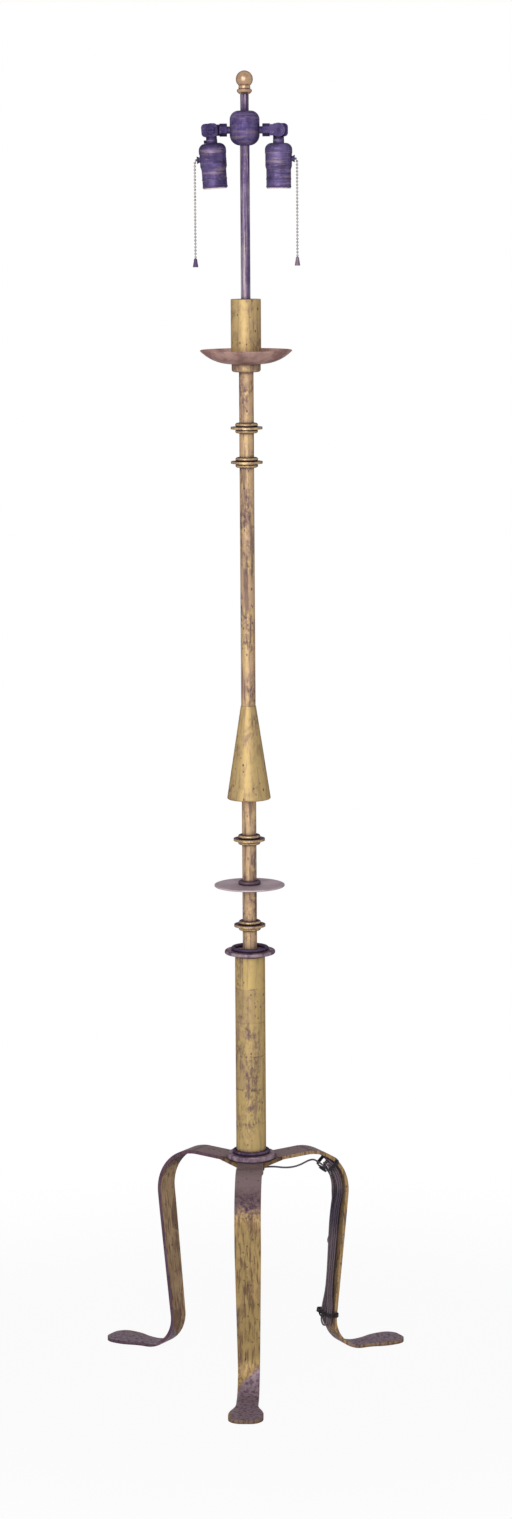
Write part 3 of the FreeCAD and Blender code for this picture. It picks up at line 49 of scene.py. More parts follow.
def shade(red, green, blue):
    """A colour as given, 0 to 255 a channel, as the light it stands for."""
    def light(value):
        value /= 255
        return value / 12.92 if value <= 0.04045 else ((value + 0.055) / 1.055) ** 2.4
    return (light(red), light(green), light(blue))


def opaque(colour):
    return (colour[0], colour[1], colour[2], 1.0)


# ---------------------------------------------------------------- settings
def colour_setting(name, description, default):
    return bpy.props.FloatVectorProperty(name=name, description=description, default=default,
                                         subtype="COLOR", size=3, min=0.0, max=1.0)


def length_setting(name, description, default):
    return bpy.props.FloatProperty(name=name, description=description, default=default, min=0.0,
                                   unit="LENGTH", subtype="DISTANCE", precision=4)


def level_setting(name, description, default):
    return bpy.props.FloatProperty(name=name, description=description, default=default,
                                   min=0.0, max=2.0)


class LampFinishSettings(bpy.types.PropertyGroup):
    """Colours of the lamp's metals, paper and plastics."""
    gold: colour_setting("Gold leaf", "Leaf where it is thick and clean", shade(208, 180, 118))
    gold_worn: colour_setting("Worn leaf", "Leaf rubbed down to its rose size",
                              shade(180, 150, 124))
    gold_old: colour_setting("Bare bronze", "Dark ground where the leaf is gone", shade(82, 62, 80))
    forged: colour_setting("Forged iron", "Bronzed iron of the straps", shade(110, 91, 90))
    bronze: colour_setting("Drip bronze", "Mauve brown of the drip dish", shade(200, 164, 154))
    violet: colour_setting("Violet bronze", "Blue violet bronze of the socket cluster",
                           shade(112, 98, 140))
    brass: colour_setting("Brass", "Finial", shade(188, 156, 126))
    plated: colour_setting("Plated chain", "Bead chains and pull links", shade(190, 184, 180))
    paper: colour_setting("Liner paper", "Card liners of the sockets", shade(243, 227, 218))
    moulded: colour_setting("Moulded plastic", "Plug, bushing and switch bodies", shade(58, 52, 54))


class LampCordSettings(bpy.types.PropertyGroup):
    """Sizes and colours of the supply cord and its ties."""
    thickness: length_setting("Cord thickness", "Diameter of the round supply cord", 0.0025)
    length: length_setting("Cord length", "Whole length from the bushing to the plug", 1.8)
    colour: colour_setting("Cord colour", "Mauve brown jacket of the supply cord",
                           shade(128, 112, 122))
    string: length_setting("Tie string", "Thickness of the black string of the ties", 0.0013)
    string_colour: colour_setting("Tie colour", "Black of the tie strings", shade(34, 30, 36))


class LampStageSettings(bpy.types.PropertyGroup):
    """Studio floor and light."""
    floor: colour_setting("Floor", "Pale studio floor", (0.86, 0.86, 0.86))
    ambient: colour_setting("Ambient", "Light from all round", (0.93, 0.90, 1.0))
    ambient_level: level_setting("Ambient level", "Strength of the light from all round", 0.20)
    key_level: level_setting("Key level", "Strength of the soft light beside the camera", 0.68)


# ---------------------------------------------------------------- materials
class Amount:
    """A number that varies over a surface; arithmetic on it adds the Math nodes."""

    def __init__(self, nodes, socket):
        self.nodes, self.socket = nodes, socket

    def work(self, operation, *values):
        node = self.nodes.node("Math", {"operation": operation}, dict(enumerate(values)))
        return Amount(self.nodes, node.outputs[0])

    def __add__(self, other):
        return self.work("ADD", self, other)

    def __radd__(self, other):
        return self.work("ADD", other, self)

    def __sub__(self, other):
        return self.work("SUBTRACT", self, other)

    def __rsub__(self, other):
        return self.work("SUBTRACT", other, self)

    def __mul__(self, other):
        return self.work("MULTIPLY", self, other)

    def __rmul__(self, other):
        return self.work("MULTIPLY", other, self)

    def __truediv__(self, other):
        return self.work("DIVIDE", self, other)

    def __abs__(self):
        return self.work("ABSOLUTE", self)

    def fraction(self):
        return self.work("FRACT", self)

    def whole(self):
        return self.work("FLOOR", self)

    def root(self):
        return self.work("SQRT", self)

    def or_less(self, other):
        return self.work("MINIMUM", self, other)

    def or_more(self, other):
        return self.work("MAXIMUM", self, other)

    def rise(self, low, high):
        """0 below low, 1 above high and smooth between them."""
        node = self.nodes.node("MapRange", {"interpolation_type": "SMOOTHSTEP"},
                               {"Value": self, "From Min": low, "From Max": high})
        return Amount(self.nodes, node.outputs["Result"])

    def fall(self, low, high):
        return 1 - self.rise(low, high)


class Nodes:
    """A node tree, of a material or of the world; every node of it comes from one method."""

    def __init__(self, owner):
        owner.use_nodes = True
        self.tree = owner.node_tree
        self.tree.nodes.clear()

    def node(self, kind, settings=None, sockets=None):
        node = self.tree.nodes.new("ShaderNode" + kind)
        for key, value in (settings or {}).items():
            setattr(node, key, value)
        for key, value in (sockets or {}).items():
            self.feed(node.inputs[key], value)
        return node

    def feed(self, socket, value):
        if isinstance(value, Amount):
            value = value.socket
        if isinstance(value, bpy.types.NodeSocket):
            self.tree.links.new(value, socket)
        else:
            socket.default_value = value

    def seen(self):
        """1 for what the camera, metal and glass see, 0 for the light that falls on things."""
        rays = self.node("LightPath").outputs
        share = Amount(self, rays["Is Camera Ray"])
        for kind in ("Is Glossy Ray", "Is Transmission Ray"):
            share = share.or_more(Amount(self, rays[kind]))
        return share


class Finish(Nodes):
    """A material. Its constants stand on the shader's own sockets."""

    def __init__(self, name, **constants):
        self.material = bpy.data.materials.new(name)
        super().__init__(self.material)
        self.shader = self.node("BsdfPrincipled", None, {key.replace("_", " "): value
                                                         for key, value in constants.items()})
        self.output = self.node("OutputMaterial", None, {"Surface": self.shader.outputs[0]})
        space = self.node("TexCoord").outputs
        self.place, self.normal = space["Object"], space["Normal"]
        split = self.node("SeparateXYZ", None, {"Vector": self.place})
        self.x, self.y, self.z = (Amount(self, split.outputs[axis]) for axis in "XYZ")

    def stretched(self, stretch):
        node = self.node("VectorMath", {"operation": "MULTIPLY"}, {0: self.place, 1: stretch})
        return node.outputs[0]

    def noise(self, size, detail, roughness, stretch=(1, 1, 1), distortion=0.0):
        """Cloudy variation whose lumps are about so many metres across."""
        node = self.node("TexNoise", None, {"Vector": self.stretched(stretch), "Scale": 1 / size,
                                            "Detail": detail, "Roughness": roughness,
                                            "Distortion": distortion})
        return Amount(self, node.outputs[0])

    def cells(self, size, stretch=(1, 1, 1)):
        """Distance to the nearest of scattered points, for dents and specks."""
        node = self.node("TexVoronoi", {"feature": "F1"},
                         {"Vector": self.stretched(stretch), "Scale": 1 / size})
        return Amount(self, node.outputs[0])

    def facing(self, axis):
        """How squarely the surface faces along an axis: 1 towards its end, -1 the other way."""
        node = self.node("VectorMath", {"operation": "DOT_PRODUCT"}, {0: self.normal, 1: axis})
        return Amount(self, node.outputs["Value"])

    def upward(self):
        return self.facing((0, 0, 1))

    def painted_corner_shade(self, reach):
        """Painted shade: 1 in corners and under rings, where shade falls, 0 in the open."""
        node = self.node("AmbientOcclusion", {"samples": 6}, {"Distance": reach})
        return Amount(self, node.outputs["AO"]).fall(0.35, 0.95)

    def blend(self, mask, first, second):
        """A colour: first where the mask is 0, second where it is 1."""
        first, second = (tone if isinstance(tone, bpy.types.NodeSocket) else opaque(tone)
                         for tone in (first, second))
        node = self.node("Mix", {"data_type": "RGBA"}, {0: mask, 6: first, 7: second})
        return node.outputs[2]

    def colour(self, value):
        self.feed(self.shader.inputs["Base Color"], value)

    def vary(self, socket, value):
        self.feed(self.shader.inputs[socket], value)

    def relief(self, height, depth):
        bump = self.node("Bump", None, {"Strength": 1.0, "Distance": depth, "Height": height})
        self.feed(self.shader.inputs["Normal"], bump.outputs[0])


def mixed(first, second, share):
    return tuple(a + (b - a) * share for a, b in zip(first, second))


def scaled(colour, level):
    return tuple(min(1.0, part * level) for part in colour)


# Dark violet that the metals turn to at their outlines, and the little clear gloss on them.
EDGE_TINT = (0.06, 0.03, 0.12, 1.0)
CLEAR_GLOSS = 0.05
WHITE = (1.0, 1.0, 1.0, 1.0)

# The leaf squares on the column, and the tube they are laid round, in metres.
LEAF_SIZE = 0.047
COLUMN_FOOT, COLUMN_RADIUS = 0.2998, 0.0205

# Heights in metres: the drip disc's dark rings, and the band of painted shade at the top of the
# hank, under the knee.
DISC_LOW, DISC_HIGH = 0.672, 0.681
HANK_SHADE_LOW, HANK_SHADE_FULL, HANK_SHADE_FADES, HANK_SHADE_HIGH = 0.160, 0.190, 0.225, 0.240


def leaf_squares(finish, size, foot, radius, drift):
    """Square leaves laid in rows round a tube: a tone for each and the laps between them."""
    up = (finish.z - foot + drift) / size
    row = up.whole()
    turn = finish.y.work("ARCTAN2", finish.y, finish.x)
    around = turn * (radius / size) + 0.37 * row + drift / size
    pair = finish.node("CombineXYZ", None, {"X": around.whole(), "Y": row})
    tone = finish.node("TexWhiteNoise", {"noise_dimensions": "2D"}, {"Vector": pair.outputs[0]})
    lap = (0.5 - abs(up.fraction() - 0.5)).or_less(0.5 - abs(around.fraction() - 0.5)) * size
    return Amount(finish, tone.outputs["Value"]), lap


def gilding(name, settings, level, rose, wear, soot, squares=None):
    """Old gold leaf: thick and thin patches, rubbed streaks, dark specks, painted shade in the
    corners.
    """
    finish = Finish(name, Metallic=0.48, Roughness=0.38, Specular_IOR_Level=CLEAR_GLOSS,
                    Specular_Tint=EDGE_TINT)
    gold = scaled(mixed(settings.gold, settings.gold_worn, rose), level)
    worn = scaled(settings.gold_worn, level)
    old = settings.gold_old
    clouds = finish.noise(0.030, 4.0, 0.6)
    smoke = finish.noise(0.045, 5.0, 0.70, (1, 1, 0.6), 0.5)
    flakes = finish.noise(0.0050, 5.0, 0.70, (1, 1, 0.55))
    streaks = finish.noise(0.0042, 4.0, 0.60, (1, 1, 0.06))
    specks = finish.cells(0.008, (1, 1, 0.6)) + 0.45 * flakes
    thin = (0.5 * clouds + 0.5 * flakes).rise(0.60 - 0.22 * wear, 0.74 - 0.22 * wear)
    rubbed = streaks.rise(0.50, 0.62) * 0.75 * wear
    bare = specks.fall(0.26, 0.40) * 0.85
    painted_shade = finish.painted_corner_shade(0.006)
    colour = finish.blend(thin * 0.8, gold, worn)
    if squares:
        tone, lap = leaf_squares(finish, *squares, 0.004 * clouds)
        colour = finish.blend(tone * 0.40, colour, mixed(worn, old, 0.35))
        torn = lap.fall(0.0003, 0.0016) * flakes.rise(0.42, 0.62)
        colour = finish.blend(torn * 0.6, colour, old)
    smudged = smoke.rise(0.45, 0.64) * flakes.rise(0.36, 0.60)
    colour = finish.blend(rubbed, colour, mixed(worn, old, 0.8))
    colour = finish.blend(smudged * soot, colour, mixed(worn, old, 0.9))
    colour = finish.blend(bare, colour, old)
    # painted shade: the leaf is darkened in corners and under rings, where shade falls
    colour = finish.blend(painted_shade * 0.9, colour, scaled(old, 0.75))
    finish.colour(colour)
    dull = painted_shade.or_more(bare).or_more(rubbed * 0.6)
    finish.vary("Roughness", 0.48 + 0.08 * thin + 0.16 * dull)
    finish.vary("Metallic", 0.48 - 0.2 * dull)
    finish.relief(flakes + 0.4 * streaks - 0.7 * bare, 0.00024)
    return finish


def knop_leaf(name, settings):
    """Turned rings: gold leaf on the rims and dark bronze on the flats, split by the way they face,
    so partly painted highlight and painted shade; dark bronze on the drip disc's rings.
    """
    finish = Finish(name, Metallic=0.6, Roughness=0.4, Specular_IOR_Level=CLEAR_GLOSS,
                    Specular_Tint=EDGE_TINT)
    flakes = finish.noise(0.0036, 5.0, 0.68)
    around = finish.noise(0.012, 3.0, 0.6, (1, 1, 0.3))
    # painted highlight and shade: faces that look up or down go dark, rims that face sideways keep
    # their gold, over real leaf and bronze
    flat = abs(finish.upward()).rise(0.55, 0.90)
    on_disc = (finish.z.rise(DISC_LOW, DISC_LOW + 0.0005)
               * finish.z.fall(DISC_HIGH - 0.0005, DISC_HIGH))
    rubbed = flakes.rise(0.56, 0.70).or_more(around.rise(0.62, 0.74))
    bare = flat.or_more(rubbed).or_more(on_disc * 0.95)
    colour = finish.blend(flakes.rise(0.36, 0.56), settings.gold, scaled(settings.gold_worn, 0.9))
    colour = finish.blend(bare * 0.85, colour, mixed(settings.gold_old, shade(84, 66, 108), 0.6))
    painted_shade = finish.painted_corner_shade(0.004)
    # painted shade: darkened in corners and between the rings, where shade falls
    colour = finish.blend(painted_shade * 0.9, colour, scaled(settings.gold_old, 0.7))
    finish.colour(colour)
    finish.vary("Roughness", 0.34 + 0.2 * bare)
    finish.vary("Metallic", 0.56 - 0.25 * bare)
    finish.relief(flakes, 0.0002)
    return finish


def strap_iron(name, settings, lateral, shank_tone, edge_tone, top):
    """Forged straps: darker bronze down to the knee with its upward faces painted lighter, brushed
    leaf below, broken edges, dark foot.
    """
    finish = Finish(name, Metallic=0.5, Roughness=0.42, Specular_IOR_Level=CLEAR_GLOSS,
                    Specular_Tint=EDGE_TINT)
    clouds = finish.noise(0.040, 4.0, 0.6)
    flakes = finish.noise(0.005, 5.0, 0.68)
    blows = finish.noise(0.016, 2.0, 0.4)
    brushed = finish.noise(0.0030, 4.0, 0.62, (1, 1, 0.07))
    smoke = finish.noise(0.030, 5.0, 0.66, (1, 1, 0.4), 0.5)
    across = finish.x * lateral[0] + finish.y * lateral[1]
    # the darker arch starts along an uneven line at the top height
    level = finish.z + 0.045 * (clouds - 0.5) + 0.03 * (flakes - 0.5)
    high = level.rise(top - 0.012, top + 0.010)
    # the dark foot ends along a slanting line
    low = (finish.z - 0.9 * across + 0.012 * (flakes - 0.5)).fall(0.020, 0.026)
    dark = shade(100, 76, 66)
    shank = finish.blend(clouds.rise(0.40, 0.62) * 0.6, shank_tone, scaled(shank_tone, 0.72))
    shank = finish.blend(brushed.rise(0.47, 0.62) * 0.75, shank, dark)
    shank = finish.blend(smoke.rise(0.48, 0.62) * 0.7, shank, scaled(dark, 1.1))
    arch = finish.blend(flakes.rise(0.42, 0.66), settings.forged, scaled(settings.gold_old, 0.85))
    # painted light: the arch's upward faces are lightened, as if lit from above
    arch = finish.blend(finish.upward().rise(0.55, 0.95) * 0.8, arch, shade(156, 136, 136))
    foot = finish.blend(flakes.rise(0.42, 0.66), shade(158, 138, 144),
                        scaled(settings.gold_old, 1.6))
    colour = finish.blend(high, shank, arch)
    colour = finish.blend(low, colour, foot)
    # the strap's narrow edges and the foot's rim, where the leaf is broken
    edge = abs(finish.facing(lateral)).rise(0.6, 0.85)
    broken = finish.blend(brushed.rise(0.46, 0.60).or_more(flakes.rise(0.54, 0.66)), edge_tone,
                          mixed(edge_tone, settings.gold_old, 0.7))
    rim = abs(finish.upward()).fall(0.25, 0.6) * finish.z.fall(0.0046, 0.006)
    colour = finish.blend((edge * finish.z.rise(0.004, 0.012)).or_more(rim * 0.8), colour, broken)
    specks = finish.cells(0.009).fall(0.08, 0.22) * 0.6
    colour = finish.blend(specks, colour, scaled(settings.gold_old, 0.6))
    painted_shade = finish.painted_corner_shade(0.010)
    # painted shade: darkened in corners and under the hub, where shade falls
    colour = finish.blend(painted_shade * 0.8, colour, scaled(settings.gold_old, 0.55))
    finish.colour(colour)
    finish.vary("Roughness", 0.36 + 0.2 * flakes + 0.1 * high)
    finish.vary("Metallic", 0.42 - 0.2 * painted_shade.or_more(low))
    finish.relief(blows + 0.25 * flakes - 0.3 * specks, 0.0005)
    return finish


def patina(name, base, dark, light, streak=0.0, bands=0.0, mottle=0.02, dullness=0.44,
           corners=0.006):
    """Aged bronze: cloudy tone, freckles, streaks up the height or turned bands, and painted shade
    in the corners.
    """
    finish = Finish(name, Metallic=0.46, Roughness=dullness, Specular_IOR_Level=CLEAR_GLOSS,
                    Specular_Tint=EDGE_TINT)
    clouds = finish.noise(mottle, 5.0, 0.62, (1, 1, 0.7))
    freckles = finish.noise(0.0028, 3.0, 0.6)
    colour = finish.blend(clouds.rise(0.38, 0.64), base, dark)
    colour = finish.blend(freckles.rise(0.56, 0.74) * 0.5, colour, light)
    if streak:
        # light and dark streaks up the height: streaky bronze, its light lines partly a painted
        # highlight
        lines = finish.noise(0.0030, 4.0, 0.6, (1, 1, 0.035))
        colour = finish.blend(lines.rise(0.50, 0.62) * streak, colour, light)
        colour = finish.blend(lines.fall(0.38, 0.48) * streak, colour, scaled(dark, 0.8))
    if bands:
        turned = finish.noise(0.0042, 3.0, 0.6, (0.12, 0.12, 1))
        colour = finish.blend(turned.rise(0.52, 0.64) * bands, colour, light)
        colour = finish.blend(turned.fall(0.36, 0.46) * bands, colour, scaled(dark, 0.7))
    painted_shade = finish.painted_corner_shade(corners)
    # painted shade: darkened in corners and recesses, where shade falls
    colour = finish.blend(painted_shade * 0.8, colour, scaled(dark, 0.6))
    finish.colour(colour)
    finish.vary("Roughness", dullness + 0.14 * clouds + 0.2 * painted_shade)
    finish.vary("Metallic", 0.46 - 0.2 * painted_shade)
    finish.relief(freckles + 0.6 * clouds, 0.00012)
    return finish


def plain_metal(name, colour, dark, roughness, metallic, lathe=0.0, corners=0.004):
    """Turned or plated metal with faint tool rings, painted shade in the corners and a few smears.
    """
    finish = Finish(name, Metallic=metallic, Roughness=roughness, Specular_IOR_Level=0.3,
                    Specular_Tint=EDGE_TINT)
    smears = finish.noise(0.010, 4.0, 0.6)
    rings = finish.noise(0.0008, 2.0, 0.5, (0.05, 0.05, 1))
    tone = finish.blend(smears.rise(0.44, 0.68) * 0.6, colour, mixed(colour, dark, 0.5))
    tone = finish.blend(rings.rise(0.5, 0.7) * lathe, tone, mixed(colour, dark, 0.35))
    painted_shade = finish.painted_corner_shade(corners)
    # painted shade: darkened in corners and under overhangs, where shade falls
    finish.colour(finish.blend(painted_shade, tone, dark))
    finish.vary("Roughness", roughness + 0.15 * smears + 0.2 * painted_shade)
    finish.relief(rings * lathe + 0.3 * smears, 0.00006)
    return finish


def card(name, colour):
    """Pulpy card with brown fibres and faint patches toasted by lamp heat."""
    finish = Finish(name, Roughness=0.85)
    fibres = finish.noise(0.0016, 4.0, 0.7, (1, 1, 0.3))
    toast = finish.noise(0.012, 3.0, 0.5)
    tone = finish.blend(toast.rise(0.45, 0.7) * 0.5, colour, scaled(colour, 0.82))
    brown = mixed(colour, shade(196, 170, 140), 0.6)
    finish.colour(finish.blend(fibres.rise(0.5, 0.7) * 0.4, tone, brown))
    finish.relief(fibres, 0.0001)
    return finish


def moulding(name, colour):
    """Moulded plastic with a fine spark grain and dusty patches."""
    finish = Finish(name, Roughness=0.45)
    grain = finish.noise(0.0007, 2.0, 0.5)
    dust = finish.noise(0.006, 4.0, 0.65)
    dusty = mixed(colour, shade(150, 140, 135), 0.25)
    finish.colour(finish.blend(dust.rise(0.45, 0.75) * 0.4, colour, dusty))
    finish.vary("Roughness", 0.38 + 0.2 * dust)
    finish.relief(grain, 0.00008)
    return finish


def jacket(name, colour, weave):
    """Braided thread: fine crossing ribs, paler on their crowns, and painted shade on a band at the
    top of the hank.
    """
    finish = Finish(name, Roughness=0.7)
    across = finish.x + finish.y
    ribs = abs(((across + finish.z) / weave).fraction() - 0.5)
    ribs = ribs + abs(((across - finish.z) / weave).fraction() - 0.5)
    fluff = finish.noise(0.004, 4.0, 0.6)
    hank_shade = finish.z.rise(HANK_SHADE_LOW, HANK_SHADE_FULL) * finish.z.fall(HANK_SHADE_FADES, HANK_SHADE_HIGH)
    tone = finish.blend(ribs.rise(0.25, 0.75) * 0.6, scaled(colour, 0.62), scaled(colour, 1.12))
    # painted shade: the band at the top of the hank, under the knee, is darkened
    tone = finish.blend(hank_shade * 0.75, tone, shade(52, 44, 68))
    finish.colour(finish.blend(fluff.rise(0.45, 0.7) * 0.45, tone, scaled(colour, 0.5)))
    finish.vary("Roughness", 0.6 + 0.25 * fluff)
    finish.relief(ribs + 0.4 * fluff, 0.0002)
    return finish


def dress(finish, *nodes):
    """Gives CAD nodes their finish."""
    for name in nodes:
        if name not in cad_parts:
            raise RuntimeError("no node " + name)
        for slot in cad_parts[name].material_slots:
            slot.material = finish.material


class LAMP_OT_gild(bpy.types.Operator):
    """Gilds the column, stem, knops, cone and candle sleeve"""
    bl_idname = "lamp.gild"
    bl_label = "Gilding"

    def execute(self, context):
        settings = context.scene.lamp_finish
        dress(gilding("column_leaf", settings, level=0.96, rose=0.0, wear=0.42, soot=0.75,
                      squares=(LEAF_SIZE, COLUMN_FOOT, COLUMN_RADIUS)), "column_tube")
        dress(gilding("stem_leaf", settings, level=1.2, rose=0.45, wear=0.9, soot=0.9), "stem_tube")
        dress(knop_leaf("knop_leaf", settings), "knop_discs", "knop_rings")
        dress(gilding("cone_leaf", settings, level=0.96, rose=0.25, wear=0.38, soot=0.7), "cone")
        dress(gilding("candle_leaf", settings, level=1.02, rose=0.3, wear=0.35, soot=0.7),
              "candle_sleeve")
        dress(gilding("collar_leaf", settings, level=1.1, rose=0.6, wear=0.8, soot=0.8),
              "cup_collar")
        return {"FINISHED"}


class LAMP_OT_straps(bpy.types.Operator):
    """Finishes the three forged legs"""
    bl_idname = "lamp.straps"
    bl_label = "Forged legs"

    def execute(self, context):
        settings = context.scene.lamp_finish
        tones = (("front_leg", -90, shade(182, 154, 104), shade(160, 130, 84), 0.254),
                 ("right_leg", 30, shade(176, 148, 108), shade(182, 150, 104), 0.262),
                 ("left_leg", 150, shade(184, 156, 122), shade(110, 84, 96), 0.268))
        for name, turn, shank, edge, top in tones:
            turn = math.radians(turn)
            lateral = (-math.sin(turn), math.cos(turn), 0.0)
            dress(strap_iron(name + "_iron", settings, lateral, shank, edge, top), name)
        return {"FINISHED"}


class LAMP_OT_bronze(bpy.types.Operator):
    """Bronzes the dish, disc, cap, hub, riser, cluster, knuckles and sockets"""
    bl_idname = "lamp.bronze"
    bl_label = "Bronzing"

    def execute(self, context):
        settings = context.scene.lamp_finish
        dress(patina("dish_bronze", settings.bronze, shade(160, 124, 116), shade(232, 198, 150)),
              "bobeche")
        dress(patina("disc_bronze", shade(206, 188, 192), shade(184, 166, 172),
                     shade(220, 202, 200), mottle=0.03), "drip_disc")
        dress(patina("cap_bronze", shade(168, 146, 156), shade(112, 92, 112), shade(206, 174, 140),
                     mottle=0.012, corners=0.003), "column_cap", "hub_flange")
        dress(patina("ring_bronze", shade(104, 84, 106), shade(74, 58, 84), shade(160, 132, 116),
                     mottle=0.012), "column_rings")
        dress(patina("web_bronze", shade(150, 122, 84), shade(92, 70, 72), shade(170, 140, 96),
                     mottle=0.012), "hub_gussets")
        dress(patina("riser_bronze", shade(148, 132, 152), shade(104, 86, 124),
                     shade(190, 174, 172), streak=0.9), "riser_tube")
        dress(patina("shade_bronze", shade(124, 106, 136), shade(82, 66, 98), shade(186, 166, 168),
                     streak=0.8), "shade_stem")
        dress(patina("cluster_bronze", settings.violet, shade(80, 68, 116), shade(146, 124, 130),
                     bands=0.45, mottle=0.014), "cluster_cover", "cluster_cup", "arm_nipples")
        dress(patina("knuckle_bronze", shade(82, 70, 108), shade(58, 48, 84), shade(132, 116, 132)),
              "knuckle_bases", "pivot_screws", "left_knuckle_swivel", "right_knuckle_swivel",
              "left_set_screw", "right_set_screw")
        for side, base in (("left", shade(102, 88, 134)), ("right", shade(112, 98, 144))):
            dress(patina(side + "_socket_bronze", base, scaled(base, 0.58), shade(150, 130, 144),
                         bands=0.7, mottle=0.012, dullness=0.4),
                  side + "_socket_cap", side + "_socket_shell", side + "_chain_guide")
        return {"FINISHED"}


class LAMP_OT_fittings(bpy.types.Operator):
    """Finishes the brass, plated, steel, paper and plastic fittings"""
    bl_idname = "lamp.fittings"
    bl_label = "Fittings"

    def execute(self, context):
        settings = context.scene.lamp_finish
        dress(plain_metal("finial_brass", settings.brass, shade(84, 56, 72), roughness=0.22,
                          metallic=0.85, lathe=0.4, corners=0.014), "finial")
        dress(plain_metal("thread_brass", shade(196, 164, 108), shade(110, 84, 60), roughness=0.35,
                          metallic=0.8, lathe=0.6),
              "left_screw_shell", "right_screw_shell", "left_contact", "right_contact",
              "plug_blades")
        dress(plain_metal("chain_plate", settings.plated, shade(90, 84, 88), roughness=0.3,
                          metallic=0.5),
              "left_pull_link", "right_pull_link", "left_chain", "right_chain")
        for side, base, dark in (("left", shade(100, 82, 116), shade(66, 54, 84)),
                                 ("right", shade(140, 122, 136), shade(88, 72, 96))):
            dress(plain_metal(side + "_bell_bronze", base, dark, roughness=0.4, metallic=0.3),
                  side + "_chain_bell")
        dress(plain_metal("pipe_steel", shade(150, 148, 146), shade(82, 78, 78), roughness=0.42,
                          metallic=0.7, lathe=0.5),
              "cluster_pipe", "centre_pipe", "hub_nut", "cup_nut", "hub_cup")
        dress(card("liner_card", settings.paper), "left_socket_liner", "right_socket_liner")
        dress(moulding("black_moulding", settings.moulded), "left_switch_body", "right_switch_body",
              "plug", "cord_bushing")
        dress(moulding("wire_cover", shade(120, 96, 74)), "supply_wires")
        return {"FINISHED"}


# ---------------------------------------------------------------- supply cord and ties
# The cord's leg, as in the solids: the knee bend's centre and inner radius in metres, the lean of
# the shank and the direction of the leg.
KNEE_R, KNEE_Z, KNEE_INSIDE = 0.081, 0.2336, 0.0576
LEAN = math.radians(5.7)
CORD_LEG = math.radians(30)

# The hank, in millimetres: its middle to the side of the strap's, the layers of its runs off the
# strap from the outermost in, and half the spacing of the runs where they are close together.
HANK_SIDE = -3.0
LAYERS = (11.25, 8.25, 5.25, 2.25)
THROAT = 2.2

# Drops below the knee bend: the top of the shank, where the runs have closed up, where they start
# and end the climb to the next layer, where they start and end parting for the lower fold, and
# where they are closest on the way back up.
SHANK_TOP, CLOSED, CLIMB, CLIMBED, PARTING, PARTED = 3, 25, 50, 110, 141, 163
RETURN_WAIST = 85

# For each loop: half the width of its folds, half its waist, the drop of its lower fold and the
# angle of its upper fold. NEAR is the tangent of 22.5 degrees, which makes a fold round.
LOOPS = ((8.0, 2.4, 183, 50.0), (8.4, 2.1, 181.5, 51.0), (8.1, 2.7, 184, 49.5))
NEAR = 0.414


def leg_point(r, z, side=0.0):
    """A point by its reach along the cord's leg, its height and its offset to the side."""
    return Vector((r * math.cos(CORD_LEG) - side * math.sin(CORD_LEG),
                   r * math.sin(CORD_LEG) + side * math.cos(CORD_LEG), z))


def strap_point(drop, off, side=0.0):
    """In millimetres: so far down the shank, off its inner face and to the side."""
    reach, drop = KNEE_INSIDE - off / 1000, drop / 1000
    return leg_point(KNEE_R + reach * math.cos(LEAN) - drop * math.sin(LEAN),
                     KNEE_Z - reach * math.sin(LEAN) - drop * math.cos(LEAN), side / 1000)


def knee_point(angle, off, side=0.0, ahead=0.0):
    """In degrees and millimetres: inside the knee bend, so far round from its top."""
    turn, reach, ahead = math.radians(angle), KNEE_INSIDE - off / 1000, ahead / 1000
    return leg_point(KNEE_R + reach * math.sin(turn) + ahead * math.cos(turn),
                     KNEE_Z + reach * math.cos(turn) - ahead * math.sin(turn), side / 1000)


def run(drop, off, side=0.0):
    """A point of the hank along the shank."""
    return strap_point(drop, off, side + HANK_SIDE)


def bend(angle, off, side=0.0, ahead=0.0):
    """A point of the hank inside the knee."""
    return knee_point(angle, off, side + HANK_SIDE, ahead)


def cord_route():
    """From the bushing over to the knee, three loops of the hank, then out to the plug."""
    lead, last = LAYERS[0], LAYERS[-1]
    route = [leg_point(0.0142, 0.277), leg_point(0.031, 0.277), leg_point(0.053, 0.2714),
             leg_point(0.073, 0.2714), bend(32, lead, ahead=-14.5), bend(32, lead, ahead=-2.5),
             bend(46, lead), bend(66, lead), bend(84, lead), run(SHANK_TOP, lead)]
    for (upper, lower), (wide, waist, end, top) in zip(zip(LAYERS, LAYERS[1:]), LOOPS):
        near = NEAR * wide
        route += [run(CLOSED, upper, THROAT), run(CLIMB, upper, waist), run(CLIMBED, lower, waist),
                  run(PARTING, lower, THROAT), run(PARTED, lower, wide)]
        route += [run(end - near, lower, wide), run(end + near, lower, wide),
                  run(end + wide, lower, near), run(end + wide, lower, -near),
                  run(end + near, lower, -wide), run(end - near, lower, -wide)]
        route += [run(PARTED, lower, -wide), run(PARTING, lower, -THROAT),
                  run(RETURN_WAIST, lower, -waist), run(CLOSED, lower, -THROAT),
                  run(SHANK_TOP, lower, -wide), bend(84, lower, -wide), bend(66, lower, -wide)]
        route += [bend(top, lower, -wide, near), bend(top, lower, -wide, -near),
                  bend(top, lower, -near, -wide), bend(top, lower, near, -wide),
                  bend(top, lower, wide, -near), bend(top, lower, wide, near),
                  bend(66, lower, wide), bend(84, lower, wide), run(SHANK_TOP, lower, wide)]
    # off the hank, round the strap's edge and down behind it to the plug
    route += [run(CLOSED, last, THROAT), run(44, last, THROAT), run(55, last, THROAT),
              strap_point(74, last, 20.5), strap_point(88, -8.0, 21.5),
              strap_point(119, -14.4, 20.8), strap_point(129, -14.4, 20.8)]
    return route


